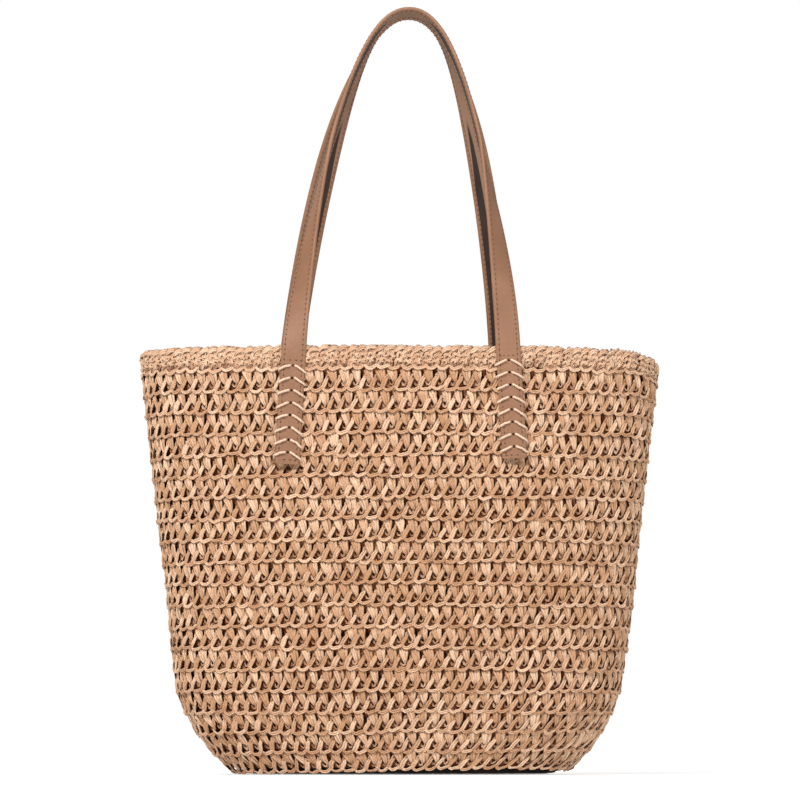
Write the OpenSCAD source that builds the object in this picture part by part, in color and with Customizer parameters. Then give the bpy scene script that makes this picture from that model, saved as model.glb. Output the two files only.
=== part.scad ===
/* [Bag] */
// Height of the bag from the floor to its rim
bag_h = 342; // [300:1:400]
// Width of the mouth, side to side
rim_w = 424; // [380:1:480]
// Depth of the mouth, front to back
rim_d = 150; // [130:1:190]
// Width that the side walls would have at the floor if the heel were not rounded
foot_w = 344; // [320:1:380]
// Depth that the front and back walls would have at the floor
foot_d = 148; // [136:1:180]
// Width of the flat base where it meets the floor
base_w = 252; // [230:1:290]
// Depth of the flat base where it meets the floor
base_d = 122; // [110:1:134]
// Height over which the rounded heel turns up into the wall
heel_h = 75; // [45:1:90]
// Squareness of the oval plan, where 2 is an ellipse
plan_n = 2.5; // [2:0.1:3]

/* [Crochet] */
// Rounds of crochet in the wall, below the edging
rounds = 19; // [16:1:22]
// Thickness of the crocheted wall at its ridges
crochet_t = 6.5; // [5:0.5:8]
// Depth of the valley between two ridges
ridge_relief = 1.5; // [0.8:0.1:2.4]
// Thickness of the crocheted base
base_t = 6; // [4.5:0.5:8]
// Height of the close edging round at the rim
edging_h = 16; // [12:1:20]

/* [Lining] */
// Thickness of the lining cloth
lining_t = 1; // [0.8:0.1:1.4]
// Height of the folded hem round the top of the lining
hem_h = 16; // [12:1:20]
// Thickness that the folded hem adds
hem_t = 0.8; // [0.6:0.1:1.2]
// Distance of the hem's upper edge below the rim
hem_drop = 8; // [6:1:12]

/* [Straps] */
// Width of the strap
strap_w = 20; // [17:0.5:23]
// Thickness of the leather on the strap's outer face
face_t = 1.1; // [0.9:0.1:1.4]
// Thickness of the stiffening core
core_t = 0.7; // [0.5:0.1:1]
// Thickness of the leather on the strap's inner face
backing_t = 1.1; // [0.9:0.1:1.4]
// Distance between the middles of the two tabs at the rim
strap_span = 172; // [150:1:200]
// Height of the top of the arch above the rim, along the leaning strap
strap_drop = 291; // [240:1:320]
// Fullness of the arch, where a larger number gives a broader top
arch_power = 1.24; // [1:0.01:1.5]
// Squareness of the arch's shoulders, where 2 is plain
arch_shoulder = 2.2; // [2:0.05:2.5]
// Sideways lean of the top of the arch
arch_shift = 7.5; // [0:0.5:12]
// Share of its height at which the front strap has turned edge on
front_turn = 0.6; // [0.5:0.05:1]
// Share of its height at which the back strap has turned edge on
back_turn = 0.95; // [0.5:0.05:1]
// Length of the strap end that is laced to the wall
tab_len = 96; // [84:1:110]
// Outward turn of each tab towards its lower end
tab_splay = 3.3; // [0:0.1:5]

/* [Lacing] */
// Chevrons of cord on each tab
chevrons = 8; // [6:1:8]
// Distance from one chevron to the next
chevron_pitch = 10; // [9:0.5:10.5]
// Height of a chevron from the strap's edge to its point
chevron_rise = 5.5; // [4:0.5:7]
// Distance of the first point below the hinge line
chevron_start = 16.5; // [11:0.5:18]
// Thickness of the lacing cord
cord_d = 1.6; // [1:0.1:2]

/* [Zip pocket] */
// Width of the pocket
pocket_w = 150; // [130:1:180]
// Height of the pocket
pocket_h = 120; // [90:1:150]
// Distance of the pocket's upper edge below the rim
pocket_drop = 58; // [52:1:70]
// Thickness of the pocket cloth
pocket_t = 0.8; // [0.6:0.1:1]
// Distance of each end of the zip inside the pocket's side
zip_side = 12; // [9:0.5:20]
// Distance of the zip below the pocket's upper edge
zip_drop = 18; // [15:1:24]
// Distance from one zip tooth to the next
tooth_pitch = 3.2; // [2.8:0.1:4]
// Thickness of the zip teeth
tooth_t = 2; // [1.6:0.1:2.4]
// Length of the slider
slider_len = 10; // [8:0.5:12]
// Length of the slider's pull
pull_len = 22; // [16:1:28]

/* [Magnetic snap] */
// Diameter of each half of the snap
snap_d = 18; // [14:1:20]
// Thickness of each half of the snap
snap_t = 2.4; // [2:0.1:3]
// Distance of the snap's middle below the rim
snap_drop = 38; // [36:1:42]

/* [Fits] */
// Gap between pieces that lie against each other
fit = 0.3; // [0.2:0.05:0.4]
// Line of glue between the layers of a strap
glue = 0.05; // [0.03:0.01:0.08]
// Distance of the strap's bending line in front of the tab
hinge_out = 1.6; // [1.5:0.1:2.5]
// Clearance of the slider's web and of the pull's eye
run = 0.3; // [0.2:0.05:0.4]
// Clearance of the lacing cord in its holes, on the tab and round the tab's edges
cord_fit = 0.15; // [0.1:0.05:0.25]
// How far the strap's core lies in from its folded edges
core_in = 0.4; // [0.2:0.1:1]

/* [Hidden] */
around = 60;
strap_steps = 56;
// How late the straps do their turning, front and back: below 1 is soon after the tab
turn_late = [0.7, 2.4];
strap_t = face_t + core_t + backing_t + 2 * glue;
edging_z = bag_h - edging_h;
round_h = (edging_z - fit) / rounds;
heel_power = 1.5;
heel_lift = 3.5;
lining_z = base_t + fit;
lining_top = bag_h - hem_drop;
lining_inset = crochet_t + fit;
room_inset = lining_inset + lining_t;
// Heights of the rings that the wall's inside and the lining share
inner_z = [
    for (u = [0, 0.12, 0.28, 0.48, 0.72, 1]) lining_z + (heel_h - lining_z) * u,
    for (u = [0.2, 0.4, 0.6, 0.8]) heel_h + (edging_z - heel_h) * u
];
hinge_z = bag_h + 2;
tab_inner_x = (strap_span - strap_w) / 2;
tab_back = wall_y(tab_inner_x - 1, bag_h) + fit;
tab_front = tab_back + strap_t;
hinge_y = tab_front + hinge_out;
strap_mid = tab_back + strap_t / 2;
apex_y = strap_w / 2 + fit;
strap_lean = asin((strap_mid - apex_y) / strap_drop);
strap_start_z = hinge_z + fit + strap_t / 2 * sin(strap_lean);
pocket_top = bag_h - pocket_drop;
pocket_ends_z = [pocket_top - pocket_h, pocket_top];
pocket_back = min([for (z = pocket_ends_z) room_y(pocket_w / 2, z)]) - fit;
tape_t = 0.5;
tape_gap = 3;
pocket_gap = 3.2;
pocket_front = pocket_back - pocket_t - pocket_gap;
tape_y = pocket_front + fit + tape_t / 2;
zip_z = pocket_top - zip_drop;
zip_len = pocket_w - 2 * zip_side;
window_end = 3;
window_w = zip_len + 2 * window_end;
window_h = 14;
tape_end = 2;
web_t = 0.5;
tooth_h = 1.8;
tooth_in = web_t / 2 + run;
tape_in = tooth_in + tooth_h + fit / 2;
tape_seam = 4;
tape_out = window_h / 2 + tape_seam;
tooth_w = 1.76;
stop_w = 2;
stop_gap = 0.85;
plate_t = 0.7;
slider_w = 8;
slider_x = -zip_len / 2 + slider_len / 2 + stop_gap + fit / 2;
web_len = 3;
pin_r = 0.8;
ear_t = 1.2;
ear_w = 3;
pull_t = 1.2;
pull_end_r = 3;
pull_hole_r = 1.4;
eye_h = 3.2;
eye_wall = 0.7;
eye_r = pin_r + run / 2;
eye_out = eye_r + eye_wall;
ear_in = eye_h / 2 + run;
pin_end = ear_in + ear_t;
snap_lip = 1;
snap_flange = 1.44;
stud_r = 2.9;
stud_out = 1.2;
socket_r = stud_r + fit;
socket_floor = 0.96;
ear_y = tape_y - tooth_t / 2 - run - plate_t - eye_out - run;

straw = [0.83, 0.66, 0.49];
tan_leather = [0.69, 0.5, 0.38];
cord_colour = [0.94, 0.82, 0.68];
cloth = [0.86, 0.8, 0.7];
brass = [0.78, 0.62, 0.32];
core_brown = [0.35, 0.3, 0.26];
tape_cloth = [0.78, 0.68, 0.54];
backing_leather = [0.59, 0.43, 0.32];

// How far the heel has drawn the wall in at height z: 1 at the floor, 0 above the heel
function heel(z) = 1 - pow(1 - pow(max(0, 1 - z / heel_h), heel_power), 1 / heel_power);
function half_w(z) =
    foot_w / 2 + (rim_w - foot_w) / 2 * z / bag_h - (foot_w - base_w) / 2 * heel(z);
function half_d(z) =
    foot_d / 2 + (rim_d - foot_d) / 2 * z / bag_h - (foot_d - base_d) / 2 * heel(z);

// A signed power, which turns a circle's cosine into the plan's
function bent(c) = sign(c) * pow(abs(c), 2 / plan_n);
function plan(z, inset, a) = [(half_w(z) - inset) * bent(cos(a)), (half_d(z) - inset) * bent(sin(a))];

// One level ring of the wall: q holds its height, its inset and how far the heel lifts it
function ring(q) = [
    for (i = [0 : around - 1])
        let (p = plan(max(0, q[0] - q[2]), q[1], 360 * i / around))
        [p[0], p[1], q[0]]
];

// Distance of the wall's outside, or of the lining's inside, in front of the middle
function depth_at(x, z, inset) =
    (half_d(z) - inset) * pow(1 - pow(abs(x) / (half_w(z) - inset), plan_n), 1 / plan_n);
function wall_y(x, z) = depth_at(x, z, 0);
function room_y(x, z) = depth_at(x, max(0, z - heel_lift), room_inset);

// A closed band round the bag, from the rings of its cross-section taken in order
module band(section) {
    n = len(section);
    points = [for (q = section) each ring(q)];
    faces = [
        for (j = [0 : n - 1], i = [0 : around - 1])
            let (k = (j + 1) % n, m = (i + 1) % around)
            each [
                [j * around + i, k * around + i, k * around + m],
                [j * around + i, k * around + m, j * around + m]
            ]
    ];
    polyhedron(points, faces);
}

module plan_disc(z, inset, lift, thickness) {
    translate([0, 0, z])
        linear_extrude(thickness)
            polygon([for (p = ring([z, inset, lift])) [p[0], p[1]]]);
}

function unit(v) = v / norm(v);

// A straight or bent tube of round section through the given points
module tube(path, d, sides = 6) {
    n = len(path);
    points = [
        for (i = [0 : n - 1])
            let (
                before = unit(path[max(1, i)] - path[max(1, i) - 1]),
                after = unit(path[min(n - 2, i) + 1] - path[min(n - 2, i)]),
                dir = unit(before + after),
                helper = abs(dir[2]) > 0.9 ? [0, 1, 0] : [0, 0, 1],
                u = unit(cross(dir, helper)),
                v = cross(dir, u)
            )
            for (s = [0 : sides - 1])
                path[i] + d / 2 * (cos(360 * s / sides) * u + sin(360 * s / sides) * v)
    ];
    faces = [
        [for (s = [0 : sides - 1]) s],
        [for (s = [sides - 1 : -1 : 0]) (n - 1) * sides + s],
        for (i = [0 : n - 2], s = [0 : sides - 1])
            let (r = (s + 1) % sides)
            each [
                [i * sides + s, (i + 1) * sides + r, i * sides + r],
                [i * sides + s, (i + 1) * sides + s, (i + 1) * sides + r]
            ]
    ];
    polyhedron(points, faces);
}

// The crocheted body, with one ridge for each round
module crochet_wall() {
    outside = [
        [0, 0, 0],
        for (k = [1 : rounds]) each [
            [(k - 0.5) * round_h, ridge_relief, 0],
            [k * round_h, 0, 0]
        ]
    ];
    inside = [
        [edging_z - fit, crochet_t, 0],
        for (i = [len(inner_z) - 1 : -1 : 0]) [inner_z[i], crochet_t, heel_lift],
        [0, crochet_t, 0]
    ];
    color(straw)
        band(concat(outside, inside));
}

module crochet_base() {
    color(straw)
        plan_disc(0, crochet_t + fit, 0, base_t);
}

// The close round at the rim, with a rounded upper edge
module rim_edging() {
    crown = crochet_t / 2;
    foot_share = 0.3;
    color(straw)
        band([
            [edging_z, ridge_relief / 2, 0],
            [edging_z + edging_h * foot_share, 0, 0],
            for (a = [0 : 45 : 180]) [bag_h - crown * (1 - sin(a)), crown * (1 - cos(a)), 0],
            [edging_z, crochet_t, 0]
        ]);
}

module lining_wall() {
    straight = [[edging_z, 0], [lining_top, 0]];
    levels = concat([for (z = inner_z) [z, heel_lift]], straight);
    color(cloth)
        band([
            for (i = [0 : len(levels) - 1]) [levels[i][0], lining_inset, levels[i][1]],
            for (i = [len(levels) - 1 : -1 : 0]) [levels[i][0], room_inset, levels[i][1]]
        ]);
}

module lining_base() {
    color(cloth)
        plan_disc(lining_z, room_inset + fit, heel_lift, lining_t);
}

module lining_hem() {
    color(cloth)
        band([
            [lining_top - hem_h, room_inset + fit, 0],
            [lining_top, room_inset + fit, 0],
            [lining_top, room_inset + fit + hem_t, 0],
            [lining_top - hem_h, room_inset + fit + hem_t, 0]
        ]);
}

// Outline of a tab below the hinge line, turned outward to the side given
module tab_outline(side) {
    corner = 2;
    intersection() {
        rotate(side * tab_splay)
            union() {
                translate([-strap_w / 2, corner - tab_len])
                    square([strap_w, tab_len + strap_w]);
                translate([corner - strap_w / 2, -tab_len])
                    square([strap_w - 2 * corner, strap_w]);
                for (x = [-1, 1])
                    translate([x * (strap_w / 2 - corner), corner - tab_len])
                        circle(corner, $fn = 32);
            }
        translate([-2 * strap_w, -2 * tab_len])
            square([4 * strap_w, 2 * tab_len]);
    }
}

// The strap's own end, laced flat to the wall: side is -1 or 1, and front is -1 or 1
module tab(side, front) {
    color(tan_leather)
        translate([side * strap_span / 2, front * strap_mid, hinge_z])
            rotate([90, 0, 0])
                translate([0, 0, -strap_t / 2])
                    linear_extrude(strap_t)
                        difference() {
                            tab_outline(side);
                            rotate(side * tab_splay)
                                for (k = [0 : chevrons - 1])
                                    translate([0, -chevron_start - k * chevron_pitch])
                                        circle(cord_d / 2 + cord_fit, $fn = 32);
                        }
}

// A point beside a tab's middle line: u across, v down from the hinge line, y in front
function tab_point(side, front, u, v, y) = [
    side * strap_span / 2 + u * cos(side * tab_splay) + v * sin(side * tab_splay),
    front * y,
    hinge_z + u * sin(side * tab_splay) - v * cos(side * tab_splay)
];

// Cord in chevrons: each pair of legs leaves a hole and goes round the strap's edges to the wall
module lacing(side, front) {
    lie = tab_front + cord_d / 2 + cord_fit;
    edge = strap_w / 2 + cord_d / 2 + cord_fit;
    color(cord_colour)
        for (k = [0 : chevrons - 1]) {
            v = chevron_start + k * chevron_pitch;
            low = v + chevron_rise;
            left = tab_point(side, front, -edge, low, lie);
            right = tab_point(side, front, edge, low, lie);
            hole = tab_point(side, front, 0, v, tab_back);
            tube([
                [left[0], front * (wall_y(left[0], left[2]) + fit), left[2]],
                left,
                tab_point(side, front, 0, v, lie),
                right,
                [right[0], front * (wall_y(right[0], right[2]) + fit), right[2]]
            ], cord_d);
            translate(hole)
                rotate([-front * 90, 0, 0])
                    cylinder(r = cord_d / 2, h = strap_t, $fn = 24);
        }
}

// The arch of a strap in its own leaning plane: a runs from 0 at one tab to 180 at the other
function arch_rise(a) = strap_drop * pow(sin(a), 2 / arch_power);
function arch(a) = [
    arch_shift * arch_rise(a) / strap_drop
        - strap_span / 2 * sign(cos(a)) * pow(abs(cos(a)), 2 / arch_shoulder),
    arch_rise(a)
];
function arch_dir(a) =
    a < 1 ? [0, 1] : a > 179 ? [0, -1] : let (d = arch(a + 0.5) - arch(a - 0.5)) d / norm(d);

// A strap faces forward at the tabs and upward at the top of the arch, and front is -1 or 1
function twist(a, front) =
    let (u = arch_rise(a) / strap_drop / (front < 0 ? front_turn : back_turn))
    90 * pow(min(1, u), front < 0 ? turn_late[0] : turn_late[1]);

// Places a point of the leaning plane: x across, s along the lean, o in front of the plane
function leaned(x, s, o) = [
    x,
    -strap_mid + s * sin(strap_lean) - o * cos(strap_lean),
    strap_start_z + s * cos(strap_lean) + o * sin(strap_lean)
];

// One layer of a strap between two heights through its thickness, drawn at the front of the bag
module strap_layer(front, from, to, width) {
    n = strap_steps;
    points = [
        for (i = [0 : n])
            let (
                a = 180 * i / n,
                c = arch(a),
                t = arch_dir(a),
                out = [-t[1], t[0]],
                f = twist(a, front)
            )
            for (q = [[-1, from], [1, from], [1, to], [-1, to]])
                let (
                    across = q[0] * width / 2,
                    p = c + q[1] * sin(f) * out - across * cos(f) * out
                )
                leaned(p[0], p[1], q[1] * cos(f) + across * sin(f))
    ];
    faces = [
        [3, 2, 1, 0],
        [4 * n, 4 * n + 1, 4 * n + 2, 4 * n + 3],
        // Both broad faces are split along the same diagonal, so that the layers stay parallel
        for (i = [0 : n - 1], s = [0 : 3])
            let (r = (s + 1) % 4)
            each s < 2
                ? [[4 * i + s, 4 * i + 4 + r, 4 * i + 4 + s], [4 * i + s, 4 * i + r, 4 * i + 4 + r]]
                : [[4 * i + s, 4 * i + r, 4 * i + 4 + s], [4 * i + r, 4 * i + 4 + r, 4 * i + 4 + s]]
    ];
    polyhedron(points, faces);
}

module to_side(front) {
    if (front < 0) children();
    else mirror([0, 1, 0]) children();
}

module strap_face(front) {
    color(tan_leather)
        to_side(front) strap_layer(front, core_t / 2 + glue, core_t / 2 + glue + face_t, strap_w);
}

module strap_core(front) {
    color(core_brown)
        to_side(front) strap_layer(front, -core_t / 2, core_t / 2, strap_w - 2 * core_in);
}

module strap_backing(front) {
    color(backing_leather)
        to_side(front) strap_layer(front, -core_t / 2 - glue - backing_t, -core_t / 2 - glue, strap_w);
}

module zip_pocket_back() {
    color(cloth)
        translate([-pocket_w / 2, pocket_back - pocket_t, pocket_top - pocket_h])
            cube([pocket_w, pocket_t, pocket_h]);
}

// The pocket's front panel, with its folded border and the window for the zip
module zip_pocket_front() {
    border = 3;
    color(cloth)
        translate([0, pocket_front, 0])
            difference() {
                translate([-pocket_w / 2, -pocket_t, pocket_top - pocket_h])
                    cube([pocket_w, pocket_t + pocket_gap - fit, pocket_h]);
                translate([border - pocket_w / 2, 0, pocket_top - pocket_h + border])
                    cube([pocket_w - 2 * border, pocket_gap, pocket_h - 2 * border]);
                translate([-window_w / 2, -2 * pocket_t, zip_z - window_h / 2])
                    cube([window_w, 4 * pocket_t, window_h]);
            }
}

module zip_tapes() {
    color(tape_cloth)
        for (up = [-1, 1])
            translate([-window_w / 2 - tape_end, tape_y - tape_t / 2, zip_z + (up > 0 ? tape_in : -tape_out)])
                cube([window_w + 2 * tape_end, tape_t, tape_out - tape_in]);
}

module zip_teeth() {
    count = floor(zip_len / tooth_pitch);
    color(brass)
        for (up = [-1, 1], i = [0 : count - 1])
            translate([
                (i - count / 2 + (up > 0 ? 0.5 : 0)) * tooth_pitch,
                tape_y - tooth_t / 2,
                zip_z + (up > 0 ? tooth_in : -tooth_in - tooth_h)
            ])
                cube([min(tooth_w, tooth_pitch - 2 * fit), tooth_t, tooth_h]);
}

// The stops that end the slider's travel
module zip_stops() {
    stop_h = 2 * (tooth_in + tooth_h);
    stop_x = zip_len / 2 + stop_gap;
    color(brass)
        for (side = [-1, 1])
            translate([side * (stop_x + stop_w / 2) - stop_w / 2, tape_y - tooth_t / 2, zip_z - stop_h / 2])
                cube([stop_w, tooth_t, stop_h]);
}

module slider_plate(y) {
    nose = slider_w / 2;
    translate([slider_x, y, zip_z])
        rotate([-90, 0, 0])
            linear_extrude(plate_t)
                union() {
                    translate([-slider_len / 2, -slider_w / 2])
                        square([slider_len - nose, slider_w]);
                    translate([slider_len / 2 - nose, 0])
                        circle(nose, $fn = 48);
                }
}

// The slider: two plates joined by a web that runs between the rows of teeth, and two ears for the pull
module zip_slider() {
    back_y = tape_y + tooth_t / 2 + run;
    front_y = tape_y - tooth_t / 2 - run - plate_t;
    color(brass)
        union() {
            slider_plate(back_y);
            slider_plate(front_y);
            translate([slider_x - slider_len / 2, front_y + plate_t / 2, zip_z - web_t / 2])
                cube([web_len, back_y - front_y, web_t]);
            for (up = [-1, 1])
                translate([slider_x - ear_w / 2, ear_y - 2 * pin_r, zip_z + (up > 0 ? ear_in : -pin_end)])
                    cube([ear_w, front_y - ear_y + 2 * pin_r + plate_t / 2, ear_t]);
            translate([slider_x, ear_y, zip_z - pin_end])
                cylinder(r = pin_r, h = 2 * pin_end, $fn = 32);
        }
}

// The pull, with an eye round the slider's pin
module zip_pull() {
    color(brass)
        translate([slider_x, ear_y, zip_z])
            difference() {
                union() {
                    translate([0, 0, -eye_h / 2])
                        cylinder(r = eye_out, h = eye_h, $fn = 48);
                    translate([0, -pull_t / 2, -eye_h / 2])
                        cube([pull_len - pull_end_r, pull_t, eye_h]);
                    translate([pull_len - pull_end_r, pull_t / 2, 0])
                        rotate([90, 0, 0])
                            cylinder(r = pull_end_r, h = pull_t, $fn = 48);
                }
                translate([0, 0, -eye_h])
                    cylinder(r = eye_r, h = 2 * eye_h, $fn = 48);
                translate([pull_len - pull_end_r, 2 * pull_t, 0])
                    rotate([90, 0, 0])
                        cylinder(r = pull_hole_r, h = 4 * pull_t, $fn = 32);
            }
}

// One half of the snap, lying on the lining with its face towards the middle of the bag
module snap_half(front) {
    z = bag_h - snap_drop;
    translate([0, front * (room_y(snap_d / 2, z) - fit), z])
        rotate([front * 90, 0, 0])
            children();
}

module snap_socket() {
    color(brass)
        snap_half(-1)
            difference() {
                union() {
                    cylinder(r = snap_d / 2, h = snap_flange, $fn = 64);
                    cylinder(r = snap_d / 2 - snap_lip, h = snap_t, $fn = 64);
                }
                translate([0, 0, socket_floor])
                    cylinder(r = socket_r, h = snap_t, $fn = 48);
            }
}

module snap_stud() {
    color(brass)
        snap_half(1)
            union() {
                cylinder(r = snap_d / 2, h = snap_flange, $fn = 64);
                cylinder(r = snap_d / 2 - snap_lip, h = snap_t, $fn = 64);
                cylinder(r = stud_r, h = snap_t + stud_out, $fn = 48);
            }
}

crochet_base();
crochet_wall();
rim_edging();
lining_wall();
lining_base();
lining_hem();
tab(-1, -1);  // front_left_tab
tab(1, -1);  // front_right_tab
tab(-1, 1);  // back_left_tab
tab(1, 1);  // back_right_tab
lacing(-1, -1);  // front_left_lacing
lacing(1, -1);  // front_right_lacing
lacing(-1, 1);  // back_left_lacing
lacing(1, 1);  // back_right_lacing
strap_face(-1);  // front_strap_face
strap_core(-1);  // front_strap_core
strap_backing(-1);  // front_strap_backing
strap_face(1);  // back_strap_face
strap_core(1);  // back_strap_core
strap_backing(1);  // back_strap_backing
zip_pocket_back();
zip_pocket_front();
zip_tapes();
zip_teeth();
zip_stops();
zip_slider();
zip_pull();
snap_socket();
snap_stud();
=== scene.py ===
import math
import bpy
import numpy as np
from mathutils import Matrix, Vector


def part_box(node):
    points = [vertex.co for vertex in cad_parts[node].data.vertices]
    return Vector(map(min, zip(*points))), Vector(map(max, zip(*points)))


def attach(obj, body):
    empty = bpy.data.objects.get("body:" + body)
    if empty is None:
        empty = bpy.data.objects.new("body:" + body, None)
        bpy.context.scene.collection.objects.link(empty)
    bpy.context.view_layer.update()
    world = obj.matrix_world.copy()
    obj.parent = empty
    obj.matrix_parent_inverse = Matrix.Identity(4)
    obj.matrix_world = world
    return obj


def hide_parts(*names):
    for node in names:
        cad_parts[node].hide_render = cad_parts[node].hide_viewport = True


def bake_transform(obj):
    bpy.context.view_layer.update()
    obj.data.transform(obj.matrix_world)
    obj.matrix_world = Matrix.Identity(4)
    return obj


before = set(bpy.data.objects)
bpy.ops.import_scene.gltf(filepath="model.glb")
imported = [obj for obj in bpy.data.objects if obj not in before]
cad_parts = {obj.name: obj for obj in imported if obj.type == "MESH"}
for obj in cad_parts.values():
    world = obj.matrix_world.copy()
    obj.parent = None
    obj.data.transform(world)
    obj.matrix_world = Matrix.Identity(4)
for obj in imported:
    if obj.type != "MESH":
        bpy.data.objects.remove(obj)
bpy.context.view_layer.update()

# ---- Studio: a pale floor, soft lamps and a long lens a little above the floor ----
# The bag stands on a white sheet. A large soft lamp on the left does most of the work,
# and the white room fills the shadows.
bpy.ops.object.select_all(action="DESELECT")
LENS_DISTANCE = 3.0
camera_data = bpy.data.cameras.new("studio_camera")
camera_data.lens = 168.75
camera_data.sensor_width = 36.0
camera_data.clip_end = 50.0
camera = bpy.data.objects.new("studio_camera", camera_data)
camera.location = (-0.048, -0.075 - LENS_DISTANCE, 0.020)
camera.rotation_euler = (math.radians(90.0 + 5.33), 0.0, math.radians(-0.90))
bpy.context.collection.objects.link(camera)
bpy.context.scene.camera = camera
bpy.context.scene.view_settings.view_transform = "Standard"

studio_world = bpy.data.worlds.new("studio_world")
bpy.context.scene.world = studio_world
studio_world.use_nodes = True


def set_inputs(tree, node, inputs):
    """Give each named input of a node a constant, or a link from another node's output."""
    for socket, value in inputs.items():
        if isinstance(value, bpy.types.NodeSocket):
            tree.links.new(value, node.inputs[socket])
        else:
            node.inputs[socket].default_value = value


def add_node(tree, kind, inputs=None, **settings):
    """A shader node with its settings and inputs."""
    node = tree.nodes.new("ShaderNode" + kind)
    for setting, value in settings.items():
        setattr(node, setting, value)
    set_inputs(tree, node, inputs or {})
    return node


tree = studio_world.node_tree
tree.nodes.clear()
room = add_node(tree, "Background", {"Color": (1.0, 0.985, 0.965, 1.0), "Strength": 0.34})
paper = add_node(tree, "Background", {"Color": (1.0, 1.0, 1.0, 1.0), "Strength": 1.0})
rays = add_node(tree, "LightPath").outputs
seen = add_node(tree, "Math", {0: rays["Is Camera Ray"], 1: rays["Is Transmission Ray"]}, operation="MAXIMUM")
world_mix = add_node(tree, "MixShader", {0: seen.outputs[0], 1: room.outputs[0], 2: paper.outputs[0]})
add_node(tree, "OutputWorld", {"Surface": world_mix.outputs[0]})

bpy.ops.mesh.primitive_plane_add(size=14.0, location=(0.0, 0.0, 0.0))
floor = bpy.context.object
floor.name = "studio_floor"
sheet_material = bpy.data.materials.new("white_sheet")
sheet_material.use_nodes = True
tree = sheet_material.node_tree
tree.nodes.clear()
matt = add_node(tree, "BsdfDiffuse", {"Color": (0.86, 0.86, 0.86, 1.0)})
away = add_node(tree, "TexCoord")
reach = add_node(tree, "VectorMath", {0: away.outputs["Object"]}, operation="LENGTH")
fade = add_node(tree, "MapRange", {"Value": reach.outputs["Value"], "From Min": 0.3, "From Max": 1.2,
                                   "To Min": 0.40, "To Max": 1.0})
glow = add_node(tree, "Emission", {"Color": (1.0, 1.0, 1.0, 1.0), "Strength": fade.outputs["Result"]})
lit = add_node(tree, "AddShader", {0: matt.outputs[0], 1: glow.outputs[0]})
rays = add_node(tree, "LightPath").outputs
seen = add_node(tree, "Math", {0: rays["Is Camera Ray"], 1: rays["Is Glossy Ray"]}, operation="MAXIMUM")
sheet_mix = add_node(tree, "MixShader", {0: seen.outputs[0], 1: matt.outputs[0], 2: lit.outputs[0]})
add_node(tree, "OutputMaterial", {"Surface": sheet_mix.outputs[0]})
floor.data.materials.append(sheet_material)

LIT_POINT = Vector((0.0, 0.0, 0.25))
for name, place, size, power in (
    ("key_lamp", (-0.9, -1.8, 2.1), 0.8, 60.0),
    ("fill_lamp", (1.8, -2.0, 1.3), 1.4, 20.0),
    ("back_lamp", (-0.6, 2.2, 2.0), 1.6, 26.0),
):
    lamp_data = bpy.data.lights.new(name, "AREA")
    lamp_data.shape = "DISK"
    lamp_data.size = size
    lamp_data.energy = power
    lamp = bpy.data.objects.new(name, lamp_data)
    lamp.location = place
    lamp.rotation_euler = (LIT_POINT - Vector(place)).to_track_quat("-Z", "Y").to_euler()
    bpy.context.collection.objects.link(lamp)

# ---- Crocheted wall: rounds of tall stitches in flat paper straw ----
# A flat paper ribbon, creased along its length, is worked in rounds from the base to the rim.
# Each stitch shows an arc of the round's ridge, a wedge hanging from it and a strand rising to it.
BAG_H, RIM_W, RIM_D = 0.342, 0.424, 0.150
FOOT_W, FOOT_D, BASE_W, BASE_D, HEEL_H = 0.344, 0.148, 0.252, 0.122, 0.075
PLAN_POWER, HEEL_POWER = 2.5, 1.5
# The edging begins at the first height, and the straps bend out of their tabs at the second
EDGING_Z, HINGE_Z = 0.326, 0.344
ROUNDS = 19
STITCH_W = 0.0098
ROUND_H = 0.0178
FIRST_RIDGE_Z = 0.0045
seeded = np.random.default_rng(20)


def wall_half(z):
    """Half the width and half the depth of the bag at a height: it draws in over the round of its heel."""
    t = np.clip(1.0 - z / HEEL_H, 0.0, 1.0) ** HEEL_POWER
    heel = 1.0 - np.maximum(1.0 - t, 0.0) ** (1 / HEEL_POWER)
    wide = FOOT_W / 2 + (RIM_W - FOOT_W) / 2 * z / BAG_H - (FOOT_W - BASE_W) / 2 * heel
    deep = FOOT_D / 2 + (RIM_D - FOOT_D) / 2 * z / BAG_H - (FOOT_D - BASE_D) / 2 * heel
    return wide, deep


def plan_curve(wide, deep, turn):
    """Points round the bag at one height; turn runs from 0 to 1, from the middle of the back."""
    a = np.pi / 2 + 2 * np.pi * turn
    power = 2 / PLAN_POWER
    x = wide * np.sign(np.cos(a)) * np.abs(np.cos(a)) ** power
    y = deep * np.sign(np.sin(a)) * np.abs(np.sin(a)) ** power
    return x, y


# Heights of the ridges: the same length of straw wall lies between each two
fine_z = np.linspace(0.0, BAG_H, 1200)
fine_wide = wall_half(fine_z)[0]
step = np.hypot(np.diff(fine_z), 0.62 * np.diff(fine_wide))
climb = np.concatenate([[0.0], np.cumsum(step)])
low = np.interp(FIRST_RIDGE_Z, fine_z, climb)
high = np.interp(EDGING_Z, fine_z, climb)

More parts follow.
